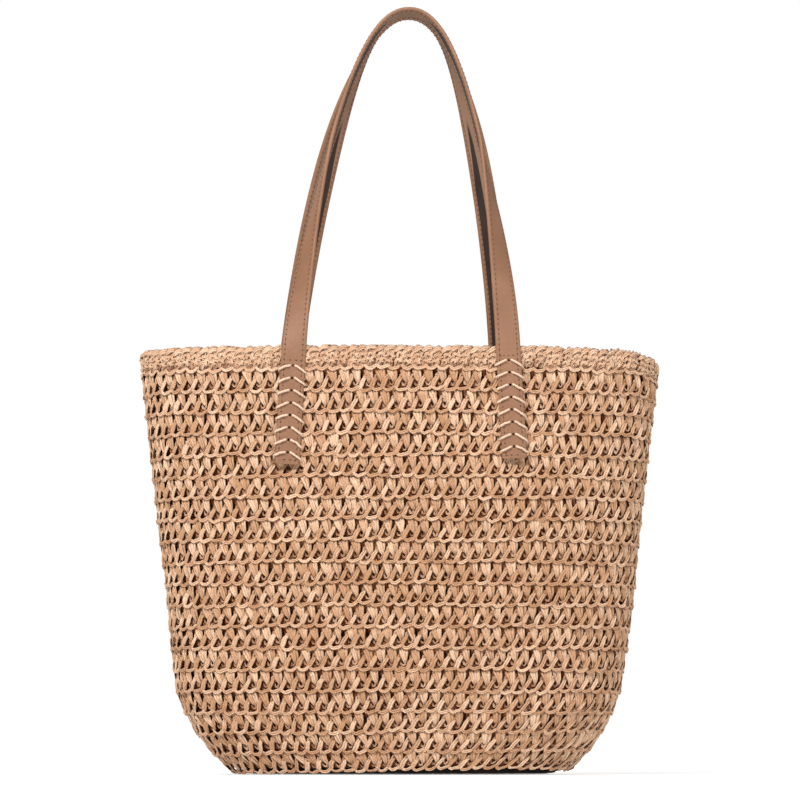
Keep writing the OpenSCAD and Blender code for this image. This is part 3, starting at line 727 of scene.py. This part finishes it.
# It is smooth near the hem and near the base, and almost so at the middle of the back, behind the pocket
below_hem, above_base = np.clip((ROUNDS - 1.2 - g) / 4, 0, 1), np.clip(g / 4, 0.1, 1)
loose = below_hem * np.clip(from_back / 0.10 - 1.05, 0, 1) * above_base
loose = np.maximum(loose, 0.15 * below_hem * above_base)
wall_cloth = on_bag(f, g, -(LINING_INSET + 0.0009 * (pleat + 1.5) * loose))
inward = []
for share in np.linspace(0.94, 0.02, 14):
    ring = wall_cloth[0] * np.array([1, 1, 0])
    spine = np.stack([np.clip(ring[:, 0], -0.060, 0.060), np.zeros(len(ring)), np.zeros(len(ring))], axis=-1)
    ring = spine + (ring - spine) * share
    wave = 0.0004 * np.sin(ring[:, 0] * 90) * np.sin(ring[:, 1] * 110)
    ring[:, 2] = 0.0068 + wave + 0.0015 * max(0, share - 0.85)
    inward.append(ring)
cloth = np.concatenate([np.array(inward)[::-1], wall_cloth])
uv = np.stack(np.meshgrid(turn * CLOTH_GIRTH, length_along(cloth[:, 0])), axis=-1)
lining = cloth_piece("lining_cloth", cloth, uv, True, CLOTH_THICK, lining_cotton)
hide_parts("lining_wall", "lining_base")
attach(lining, "bag")

# The hem's fold from its top edge down: how far below the top, and how far inside the wall
HEM_TOP = LINING_TOP + 0.0008
HEM_FOLD = np.array([(0.0, 0.0074), (0.0, 0.0084), (0.0012, 0.0089), (0.0140, 0.0089), (0.0158, 0.0086),
                     (0.0160, 0.0078)])
f, row = np.meshgrid(turn, np.arange(len(HEM_FOLD)))
g = np.array([round_at(HEM_TOP - down) for down in HEM_FOLD[:, 0]])[row]
w = -HEM_FOLD[row, 1] - 0.00015 * np.sin(2 * np.pi * f * 44) * (row > 1)
uv = np.stack([f * CLOTH_GIRTH, row * 0.004], axis=-1)
hem = cloth_piece("lining_hem_fold", on_bag(f, g, w), uv, True, 0.0005, lining_cotton)
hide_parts("lining_hem")
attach(hem, "bag")


def thread_material(name, colour, shade):
    material, tree, skin = new_material(name)
    where = add_node(tree, "TexCoord").outputs["Object"]
    ply = add_node(tree, "TexNoise", {"Vector": where, "Scale": 900.0})
    colours = add_ramp(tree, ply.outputs["Fac"], ((0.35, shade), (0.65, colour)))
    set_inputs(tree, skin, {"Roughness": 0.7, "Base Color": colours})
    return material


def read_along(table, run, where):
    """The rows of a table of places or directions, read between its points at some lengths."""
    return np.stack([np.interp(where, run, table[:, c]) for c in range(3)], axis=-1)


def machine_stitches(line, out, pitch, thick, share, closed=False, shift=0.0):
    """Short thread stitches along a line of points, each dipping into the cloth at both its ends."""
    line, out = np.asarray(line, float), np.asarray(out, float)
    if closed:
        line, out = np.vstack([line, line[:1]]), np.vstack([out, out[:1]])
    run = length_along(line)
    count = max(int(run[-1] / pitch), 1)
    middle = np.minimum(np.arange(count) + 0.5 + shift, count - 0.1) * run[-1] / count
    reach = run[-1] / count * share / 2
    along = unit(read_along(line, run, middle + reach) - read_along(line, run, middle - reach))
    up = read_along(out, run, middle)
    up = unit(up - along * np.sum(along * up, axis=1, keepdims=True))
    side = np.cross(along, up)
    # Each stitch has four rings of four points: its sunk ends, and the two that lie on the surface
    rings = []
    for s, high, wide in ((-1.0, -0.9, 0.35), (-0.72, 0.25, 0.95), (0.72, 0.25, 0.95), (1.0, -0.9, 0.35)):
        centre = read_along(line, run, middle + s * reach) + up * (high * thick / 2)
        for b, n in ((-1, 0), (0, 1), (1, 0), (0, -1)):
            rings.append(centre + (side * b + up * n) * (wide * thick / 2))
    points = np.stack(rings, axis=1)
    quads = [(r * 4 + k, r * 4 + (k + 1) % 4, r * 4 + 4 + (k + 1) % 4, r * 4 + 4 + k)
             for r in range(3) for k in range(4)]
    quads += [(3, 2, 1, 0), (12, 13, 14, 15)]
    faces = (np.array(quads)[None] + (np.arange(count) * 16)[:, None, None]).reshape(-1, 4)
    return points.reshape(-1, 3), faces


def thread_piece(name, rows, material):
    """One object from several rows of machine stitches."""
    points, faces, used = [], [], 0
    for p, quads in rows:
        points.append(p)
        faces.append(quads + used)
        used += len(p)
    piece = new_object(name, np.concatenate(points), np.concatenate(faces))
    face_outward(piece)
    piece.data.shade_smooth()
    piece.data.materials.append(material)
    return piece


COTTON_THREAD, COTTON_SHARE = 0.00045, 0.72
cotton_thread = thread_material("cotton_thread", (0.74, 0.62, 0.47), (0.56, 0.45, 0.32))
hem_rows = []
for down in (0.0028, 0.0132):
    level = np.full_like(turn, round_at(LINING_TOP - down))
    line = on_bag(turn, level, np.full_like(turn, -0.0092))
    wall = on_bag(turn, level, np.zeros_like(turn))
    hem_rows.append(machine_stitches(line, line - wall, 0.0034, COTTON_THREAD, COTTON_SHARE, closed=True))
hem_thread = thread_piece("lining_hem_thread", hem_rows, cotton_thread)
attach(hem_thread, "bag")

# ---- Leather straps: each one length of two layers, folded and stitched along both edges ----
# Their flat ends are laced to the wall, and above the rim each bends freely out of its tabs.
STRAP_DROP, ARCH_POWER, ARCH_SHIFT, APEX_Y = 0.291, 1.24, 0.0075, 0.0103
# These go by front (-1) and back (1): the two straps differ a little
STRAP_SPAN, ARCH_SHOULDER = {-1: 0.172, 1: 0.177}, {-1: 2.2, 1: 2.16}
STRAP_MID = {-1: 0.0, 1: -0.0020}
# The share of its height at which a strap has turned edge on, and how late its two legs turn
TURN_BY, TURN_LATE = {-1: 0.6, 1: 0.95}, {-1: (0.7, 1.05), 1: (2.4, 2.4)}
# The length of the left (-1) and right (1) tabs, and how far each leans outwards
TAB_LEN, TAB_SPLAY = {-1: 0.096, 1: 0.0912}, math.radians(3.3)
TAB_TOP = 0.006
tab_low, tab_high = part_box("front_left_tab")
tab_mid = abs(tab_low[1] + tab_high[1]) / 2
strap_thick = abs(tab_high[1] - tab_low[1])
lean = math.asin((tab_mid - APEX_Y) / STRAP_DROP)
strap_foot_z = HINGE_Z + 0.0003 + strap_thick / 2 * math.sin(lean)


def tab_point(side, front, u, v, out):
    """A point beside a tab's middle line: u across, v down from the rim, out in front of its middle."""
    level, sloped = math.cos(side * TAB_SPLAY), math.sin(side * TAB_SPLAY)
    x = STRAP_MID[front] + side * STRAP_SPAN[front] / 2 + u * level + v * sloped
    return np.array([x, front * (tab_mid + out), HINGE_Z + u * sloped - v * level])


def arch_place(front, degrees):
    """Across and up along the lean of a strap's arch, at an angle from its left foot."""
    share = max(math.sin(math.radians(degrees)), 0) ** (2 / ARCH_POWER)
    wide = math.cos(math.radians(degrees))
    wide = math.copysign(abs(wide) ** (2 / ARCH_SHOULDER[front]), wide)
    middle = ARCH_SHIFT * share + STRAP_MID[front] * (1 - share)
    return np.array([middle - STRAP_SPAN[front] / 2 * wide, STRAP_DROP * share])


def strap_line(front):
    """The strap's middle line and face directions, from one tab's end over the arch to the other's."""
    places, outs = [], []
    for v in np.linspace(TAB_LEN[-1], TAB_TOP, 30):
        places.append(tab_point(-1, front, 0, v, 0))
        outs.append((0, front, 0))
    for a in np.linspace(3, 177, 160):
        x, s = arch_place(front, a)
        d = unit(arch_place(front, a + 0.5) - arch_place(front, a - 0.5))
        twist = math.pi / 2 * min(s / STRAP_DROP / TURN_BY[front], 1) ** TURN_LATE[front][int(a > 90)]
        plane = np.array([0, front * math.cos(lean), math.sin(lean)])
        up = np.array([0, -front * math.sin(lean), math.cos(lean)])
        radial = np.array([-d[1], 0, 0]) + up * d[0]
        places.append(np.array([x, front * tab_mid, strap_foot_z]) + up * s)
        outs.append(plane * math.cos(twist) + radial * math.sin(twist))
    for v in np.linspace(TAB_TOP, TAB_LEN[1], 30):
        places.append(tab_point(1, front, 0, v, 0))
        outs.append((0, front, 0))
    places, outs = np.array(places), np.array(outs, float)
    run = length_along(places)
    fine = np.linspace(0, run[-1], 1201)
    places, outs = read_along(places, run, fine), read_along(outs, run, fine)
    soft = np.exp(-0.5 * (np.arange(-12, 13) / 5.0) ** 2)
    soft /= soft.sum()
    for table in (places, outs):
        padded = np.vstack([2 * table[0] - table[12:0:-1], table, 2 * table[-1] - table[-2:-14:-1]])
        for c in range(3):
            table[:, c] = np.convolve(padded[:, c], soft, mode="valid")
    along = unit(np.gradient(places, axis=0))
    outs = unit(outs - along * np.sum(along * outs, axis=1, keepdims=True))
    return fine, places, np.cross(along, outs), outs


# The strap's section, in mm from its middle: a crowned face, folded edges and a backing let in between them
STRAP_FACE = ((-9.95, 0.25), (-9.80, 0.80), (-9.20, 1.30), (-8.20, 1.44), (-7.15, 1.38), (-6.2, 1.46),
              (-5.0, 1.52), (-2.5, 1.58), (0.0, 1.60), (2.5, 1.58), (5.0, 1.52),
              (6.2, 1.46), (7.15, 1.38), (8.20, 1.44), (9.20, 1.30), (9.80, 0.80), (9.95, 0.25))
STRAP_BACK = ((9.95, -0.25), (9.80, -0.85), (9.20, -1.36), (8.2, -1.48), (7.0, -1.50), (6.55, -1.46),
              (6.45, -1.20), (3.2, -1.18), (0.0, -1.18), (-3.2, -1.18), (-6.45, -1.20),
              (-6.55, -1.46), (-7.0, -1.50), (-8.2, -1.48), (-9.20, -1.36), (-9.80, -0.85), (-9.95, -0.25))
section = np.array(STRAP_FACE + STRAP_BACK) / 1000
# Towards the top the painted shade on the backing draws in from each edge: each edge's first and last share
# of the height
OUTER_SHADE_RECEDES, INNER_SHADE_RECEDES = {-1: (0.90, 0.985), 1: (0.20, 0.42)}, {-1: (0.90, 0.985), 1: (0.50, 0.90)}
FULL_SHADE_REACH, NO_SHADE_REACH = 6.8, -0.4
backing_edges = range(len(STRAP_FACE) + 6, len(STRAP_FACE) + 10)


def leather_material(name, dark, middle, pale, rough, grain_height, folded=None):
    material, tree, skin = new_material(name)
    where = add_node(tree, "TexCoord").outputs["Object"]
    pebble = add_node(tree, "TexVoronoi", {"Vector": where, "Scale": 1500.0})
    fine_grain = add_node(tree, "TexNoise", {"Vector": where, "Scale": 700.0, "Detail": 5.0}).outputs["Fac"]
    cloudy = add_node(tree, "TexNoise", {"Vector": where, "Scale": 26.0, "Detail": 4.0})
    height = weigh(tree, pebble.outputs["Distance"], 0.6, fine_grain)
    mottle = weigh(tree, fine_grain, 0.35, weigh(tree, cloudy.outputs["Fac"], 0.65))
    colours = add_ramp(tree, mottle, ((0.34, dark), (0.5, middle), (0.66, pale)))
    # Outside the painted shade the backing takes the colour given as folded, its colour where no shade is
    # painted
    if folded is not None:
        outside_painted_shade = add_node(tree, "Attribute", attribute_name="outside_painted_shade").outputs["Fac"]
        unshaded_share = add_node(tree, "MapRange", {"Value": outside_painted_shade, "From Min": -0.25, "From Max": 0.25})
        colours = add_node(tree, "Mix", {0: unshaded_share.outputs["Result"], 6: colours, 7: (*folded, 1.0)},
                           data_type="RGBA").outputs[2]
    shine = add_node(tree, "MapRange", {"Value": fine_grain, "To Min": rough - 0.06, "To Max": rough + 0.10})
    relief = add_node(tree, "Bump", {"Strength": 0.6, "Distance": grain_height, "Height": height})
    set_inputs(tree, skin, {"Specular IOR Level": 0.42, "Base Color": colours,
                            "Roughness": shine.outputs["Result"], "Normal": relief.outputs["Normal"]})
    return material


tan_leather = leather_material("tan_leather", (0.250, 0.122, 0.064), (0.292, 0.143, 0.077),
                               (0.335, 0.168, 0.092), 0.56, 0.00013)
# Painted shade: the backing is near black, standing for the deep shade between the straps, low on their legs
painted_shade_leather_back = leather_material("painted_shade_leather_back", (0.020, 0.010, 0.007), (0.030, 0.016, 0.011),
                                (0.042, 0.024, 0.017), 0.80, 0.00008, folded=(0.30, 0.175, 0.115))
strap_thread = thread_material("strap_thread", (0.40, 0.205, 0.118), (0.26, 0.12, 0.065))
# Painted shade: the needle holes are dark beads, sunk a little under the leather, standing for the shade
# inside each hole
needle_hole = thread_material("needle_hole", (0.15, 0.06, 0.025), (0.09, 0.035, 0.015))
CHEVRONS, CHEVRON_START, CHEVRON_PITCH = 8, {-1: 0.0165, 1: 0.0117}, 0.010
HOLE_R, HOLE_DEPTH = 0.00115, 0.008
SEAM, SEAM_PITCH, CROSS_PITCH = 0.00715, 0.0042, 0.0036
STRAP_THREAD_THICK, PRICK_WIDE = 0.00046, 0.00125


def punch_tabs(strap, front):
    """Punch the lacing holes through both tabs of a strap."""
    punches = []
    for side in (-1, 1):
        for chevron in range(CHEVRONS):
            hole = tab_point(side, front, 0, CHEVRON_START[side] + chevron * CHEVRON_PITCH, 0)
            bpy.ops.mesh.primitive_cylinder_add(vertices=14, radius=HOLE_R, depth=HOLE_DEPTH,
                                                location=hole.tolist(), rotation=(math.radians(90), 0, 0))
            punches.append(bpy.context.object)
    select_only(*punches)
    bpy.ops.object.join()
    punch = bpy.context.object
    bpy.ops.object.transform_apply(location=True, rotation=True, scale=True)
    select_only(strap)
    cut = strap.modifiers.new("holes", "BOOLEAN")
    cut.operation = "DIFFERENCE"
    cut.solver = "EXACT"
    cut.object = punch
    bpy.ops.object.modifier_apply(modifier=cut.name)
    bpy.data.objects.remove(punch, do_unlink=True)


def leather_strip(name, front, run, places, across, outs):
    """The leather of one strap: its section carried along its line, and rounded a little at both ends."""
    stations = np.concatenate([[0, 0.0003, 0.0009, 0.0016], np.linspace(0.0024, run[-1] - 0.0024, 250),
                               run[-1] - np.array([0.0016, 0.0009, 0.0003, 0.0])])
    rounding = np.clip(np.minimum(stations, run[-1] - stations) / 0.0020, 0, 1)
    narrow = 1 - 0.10 * (1 - np.sqrt(1 - (1 - rounding) ** 2))
    p, a, o = [read_along(table, run, stations) for table in (places, across, outs)]
    points = (p[:, None] + a[:, None] * (section[None, :, :1] * narrow[:, None, None])
              + o[:, None] * section[None, :, 1:])
    rows, n = points.shape[:2]
    k, after, quads = grid_faces(rows, n)
    faces = quads.tolist() + [k[0][::-1].tolist(), k[-1].tolist()]
    strap = new_object(name, points.reshape(-1, 3).tolist(), faces)
    strap.data.materials.append(tan_leather)
    strap.data.materials.append(painted_shade_leather_back)
    climbed = (p[:, 2] - strap_foot_z) / (STRAP_DROP * math.cos(lean))
    # How far from the middle the painted shade reaches on each side, by height
    outer_shade_reach = np.interp(climbed, OUTER_SHADE_RECEDES[front], (FULL_SHADE_REACH, NO_SHADE_REACH))
    inner_shade_reach = np.interp(climbed, INNER_SHADE_RECEDES[front], (FULL_SHADE_REACH, NO_SHADE_REACH))
    outward = section[None, :, 0] * 1000 * front
    outside_painted_shade = np.maximum(outward - outer_shade_reach[:, None], -outward - inner_shade_reach[:, None])
    gap = strap.data.attributes.new("outside_painted_shade", "FLOAT", "POINT")
    gap.data.foreach_set("value", outside_painted_shade.ravel().astype(np.float32))
    for polygon in strap.data.polygons[: (rows - 1) * n]:
        polygon.material_index = int(polygon.index % n in backing_edges)
    face_outward(strap)
    return strap


def strap_seams(run, places, across, outs):
    """Lines, facings and pitches of the thread: along both sides, above each lacing and across each end."""
    seams = []
    inner = slice(6, -6)
    for b in (-SEAM, SEAM):
        for high in (0.00136, -0.00146):
            line = places[inner] + across[inner] * b + outs[inner] * high
            seams.append((line, outs[inner] * np.sign(high), SEAM_PITCH))
    for back_from_end in (0.0030, TAB_LEN[-1] - CHEVRON_START[-1] + 0.0037):
        for end in (back_from_end, run[-1] - back_from_end):
            at = int(np.searchsorted(run, end))
            line = [places[at] + across[at] * b + outs[at] * 0.0015 for b in np.linspace(-0.0072, 0.0072, 12)]
            seams.append((np.array(line), np.repeat(outs[at][None], 12, axis=0), CROSS_PITCH))
    return seams


for front, name in ((-1, "front"), (1, "back")):
    strap_course = strap_line(front)
    strap = leather_strip(name + "_strap_leather", front, *strap_course)
    punch_tabs(strap, front)
    strap.data.shade_smooth()
    bpy.ops.object.shade_smooth_by_angle(angle=math.radians(42))
    stitch_rows, pricks = [], []
    for line, out, pitch in strap_seams(*strap_course):
        stitch_rows.append(machine_stitches(line, out, pitch, STRAP_THREAD_THICK, 0.60))
        # Dark beads between the stitches, for the painted shade in the needle holes
        pricks.append(machine_stitches(line - out * 0.00014, out, pitch, PRICK_WIDE, 0.32, shift=0.5))
    thread = thread_piece(name + "_strap_thread", stitch_rows, strap_thread)
    holes = thread_piece(name + "_strap_needle_holes", pricks, needle_hole)
    for piece in (strap, thread, holes):
        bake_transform(piece)
    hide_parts(name + "_strap_face", name + "_strap_core", name + "_strap_backing",
                name + "_left_tab", name + "_right_tab")

# ---- Lacing: a pale waxed cord, laced in chevrons through each tab and round its edges ----
# Each pair of legs leaves one punched hole, lies down the leather and goes round an edge into the straw.
CORD_D = 0.0020
CHEVRON_RISE = 0.0054
# The two legs of a chevron fall by these shares of its rise
LEG_SHARE = {-1: 0.60, 1: 0.96}
RING = 8


def cord_material():
    material, tree, skin = new_material("waxed_cord")
    cord_uv = add_node(tree, "UVMap", uv_map="cord").outputs["UV"]
    slant = add_node(tree, "Mapping", {"Vector": cord_uv, "Rotation": (0.0, 0.0, math.radians(35))})
    plies = add_node(tree, "TexWave", {"Vector": slant.outputs["Vector"], "Scale": 1.1, "Distortion": 0.8})
    colours = add_ramp(tree, plies.outputs["Fac"], ((0.0, (0.82, 0.56, 0.39)), (1.0, (0.98, 0.76, 0.57))))
    relief = add_node(tree, "Bump", {"Strength": 0.6, "Distance": 0.0002, "Height": plies.outputs["Fac"]})
    set_inputs(tree, skin, {"Roughness": 0.52, "Base Color": colours, "Normal": relief.outputs["Normal"]})
    return material


def leg_route(fall, sag):
    """One leg of a chevron: out of its hole, down the leather, round the edge and into the straw."""
    return [(0.00185, -0.0001, 0.0001), (0.00215, 0.0, 0.0012), (0.0027, fall * 0.05, 0.0022),
            (0.0042, fall * 0.21, 0.0026), (0.0064, fall * 0.47 + sag, 0.00258),
            (0.0086, fall * 0.75, 0.0023), (0.0101, fall * 0.96, 0.0014), (0.0108, fall * 1.07, -0.0004),
            (0.0107, fall * 1.10 + 0.0010, -0.0030), (0.0103, fall * 1.10 + 0.0016, -0.0054)]


def cord_run(line):
    """A run of cord along a line: its points, faces, and places along and round it."""
    along = unit(np.gradient(line, axis=0))
    one = unit(np.cross(along, (0.13, 0.31, 0.94)))
    two = np.cross(along, one)
    angle = np.arange(RING)[:, None] * 2 * np.pi / RING
    tube = line[:, None] + CORD_D / 2 * (one[:, None] * np.cos(angle) + two[:, None] * np.sin(angle))
    k, after, quads = grid_faces(len(line), RING)
    pairs = range(RING // 2 - 1)
    caps = [[k[0][i], k[0][i + 1], k[0][RING - 2 - i], k[0][RING - 1 - i]] for i in pairs]
    caps += [[k[-1][i], k[-1][RING - 1 - i], k[-1][RING - 2 - i], k[-1][i + 1]] for i in pairs]
    lengths, turns = length_along(line) * 1000, np.arange(RING) / RING * 5
    places = np.stack([np.repeat(lengths, RING), np.tile(turns, len(line))], axis=-1)
    return tube.reshape(-1, 3), np.concatenate([quads, np.array(caps)]), places


def tab_lacing(name, front, side):
    """The cord of one tab: two legs for each chevron, each of them a little different."""
    points, faces, places, used = [], [], [], 0
    for chevron in range(CHEVRONS):
        v = CHEVRON_START[side] + chevron * CHEVRON_PITCH
        for leg in (-1, 1):
            fall = CHEVRON_RISE * LEG_SHARE[leg] + seeded.normal(0, 0.00035)
            route = [tab_point(side, front, leg * u, v + down, out)
                     for u, down, out in leg_route(fall, seeded.normal(0, 0.0002))]
            leg_points, leg_faces, leg_places = cord_run(smooth_path(route, 20))
            points.append(leg_points)
            faces.append(leg_faces + used)
            places.append(leg_places)
            used += len(leg_points)
    faces = np.concatenate(faces)
    lacing = new_object(name, np.concatenate(points), faces)
    lay_uv(lacing.data, "cord", np.concatenate(places), faces)
    face_outward(lacing)
    lacing.data.shade_smooth()
    return lacing


waxed_cord = cord_material()
for front, name in ((-1, "front"), (1, "back")):
    for side, hand in ((-1, "left"), (1, "right")):
        lacing = tab_lacing(f"{name}_{hand}_lacing_cord", front, side)
        lacing.data.materials.append(waxed_cord)
        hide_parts(f"{name}_{hand}_lacing")
        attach(lacing, "bag")

# ---- Zip pocket: a flat cotton pocket on the back of the lining, with a short metal zip ----
# Its front is turned in at the border and cut open over the zip, with a row of stitches round the opening.
pocket_low, pocket_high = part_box("zip_pocket_front")
teeth_low, teeth_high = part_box("zip_teeth")
ZIP_Z = (teeth_low[2] + teeth_high[2]) / 2
WINDOW_X, WINDOW_H = 0.066, 0.007
xs = np.unique(np.concatenate([np.linspace(pocket_low[0], pocket_high[0], 61), [-WINDOW_X, WINDOW_X]]))
window_zs = [ZIP_Z - WINDOW_H, ZIP_Z + WINDOW_H]
zs = np.unique(np.round(np.concatenate([np.linspace(pocket_low[2], pocket_high[2], 49), window_zs]), 5))
x, z = np.meshgrid(xs, zs)
from_edge = np.minimum.reduce([x - pocket_low[0], pocket_high[0] - x, z - pocket_low[2], pocket_high[2] - z])
turned = np.clip(1 - from_edge / 0.006, 0, 1) ** 2
slack = np.clip((0.250 - z) / 0.02, 0, 1) * np.clip(from_edge / 0.02, 0, 1)
soft = 0.0004 * np.sin(x * 70 + 1) * np.sin(z * 55) * slack
y = pocket_low[1] + 0.0004 + turned * (pocket_high[1] - pocket_low[1] - 0.0006) - np.abs(soft)


def beside_window(centre):
    return ~((np.abs(centre[:, 0]) < WINDOW_X) & (np.abs(centre[:, 2] - ZIP_Z) < WINDOW_H))


def upright_cloth(name, x, y, z, thick, material, cover=None, facing=-1):
    """A flat piece of cloth that faces the front of the bag, from its grid of places."""
    points = np.stack([x, y, z], axis=-1)[:, ::facing]
    uv = np.stack([x, z], axis=-1)[:, ::facing]
    return cloth_piece(name, points, uv, False, thick, material, cover)


pocket_front = upright_cloth("zip_pocket_cloth", x, y, z, CLOTH_THICK, lining_cotton, cover=beside_window)
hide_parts("zip_pocket_front")
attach(pocket_front, "bag")

back_low, back_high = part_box("zip_pocket_back")
x, z = np.meshgrid(np.linspace(back_low[0], back_high[0], 31), np.linspace(back_low[2], back_high[2], 25))
y = (back_low[1] + back_high[1]) / 2 + 0.00012 * np.sin(x * 60) * np.sin(z * 80)
pocket_back = upright_cloth("zip_pocket_inner_cloth", x, y, z, CLOTH_THICK, lining_cotton)
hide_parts("zip_pocket_back")
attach(pocket_back, "bag")

# One row of stitches runs round the window, 2.2 mm outside its edge
wide, high = WINDOW_X + 0.0022, WINDOW_H + 0.0022
corners = [(-wide, ZIP_Z - high), (wide, ZIP_Z - high), (wide, ZIP_Z + high), (-wide, ZIP_Z + high)]
window_rows = []
for (x0, z0), (x1, z1) in zip(corners, corners[1:] + corners[:1]):
    line = [(x0 + (x1 - x0) * t, pocket_low[1] - 0.0001, z0 + (z1 - z0) * t) for t in np.linspace(0, 1, 20)]
    window_rows.append(machine_stitches(line, [(0, -1, 0)] * 20, 0.0030, COTTON_THREAD, COTTON_SHARE))
pocket_thread = thread_piece("zip_pocket_thread", window_rows, cotton_thread)
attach(pocket_thread, "bag")

tape_low, tape_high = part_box("zip_tapes")
zip_tape = cotton_material("zip_tape_weave", (0.50, 0.40, 0.29), (0.64, 0.53, 0.40), weave_scale=300.0)
near, far = 0.0007, tape_high[2] - ZIP_Z
levels = np.array([near, near + 0.0008, near + 0.0016, (near + far) / 2, far])
for up, name in ((-1, "zip_tape_lower"), (1, "zip_tape_upper")):
    x, z = np.meshgrid(np.linspace(tape_low[0], tape_high[0], 41), ZIP_Z + up * levels)
    y = np.full_like(x, (tape_low[1] + tape_high[1]) / 2)
    y[1] -= 0.00025
    tape = upright_cloth(name, x, y, z, 0.00045, zip_tape, facing=-up)
    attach(tape, "bag")
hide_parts("zip_tapes")

# ---- Metal: the zip's teeth, stops, slider and pull, and the two halves of the snap ----
# Plated brass with a soft brushed finish, its colour and shine varying along the brushing.
brass, tree, skin = new_material("brushed_brass")
where = add_node(tree, "TexCoord").outputs["Object"]
brushed = add_node(tree, "Mapping", {"Vector": where, "Scale": (60.0, 900.0, 900.0)})
scratch = add_node(tree, "TexNoise", {"Vector": brushed.outputs["Vector"], "Scale": 2.0, "Detail": 4.0})
colours = add_ramp(tree, scratch.outputs["Fac"], ((0.0, (0.52, 0.36, 0.15)), (1.0, (0.78, 0.60, 0.30))))
shine = add_node(tree, "MapRange", {"Value": scratch.outputs["Fac"], "To Min": 0.24, "To Max": 0.44})
set_inputs(tree, skin, {"Metallic": 1.0, "Base Color": colours, "Roughness": shine.outputs["Result"]})
for node in ("zip_teeth", "zip_stops", "zip_slider", "zip_pull", "snap_socket", "snap_stud"):
    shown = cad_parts[node]
    shown.data.materials.clear()
    shown.data.materials.append(brass)
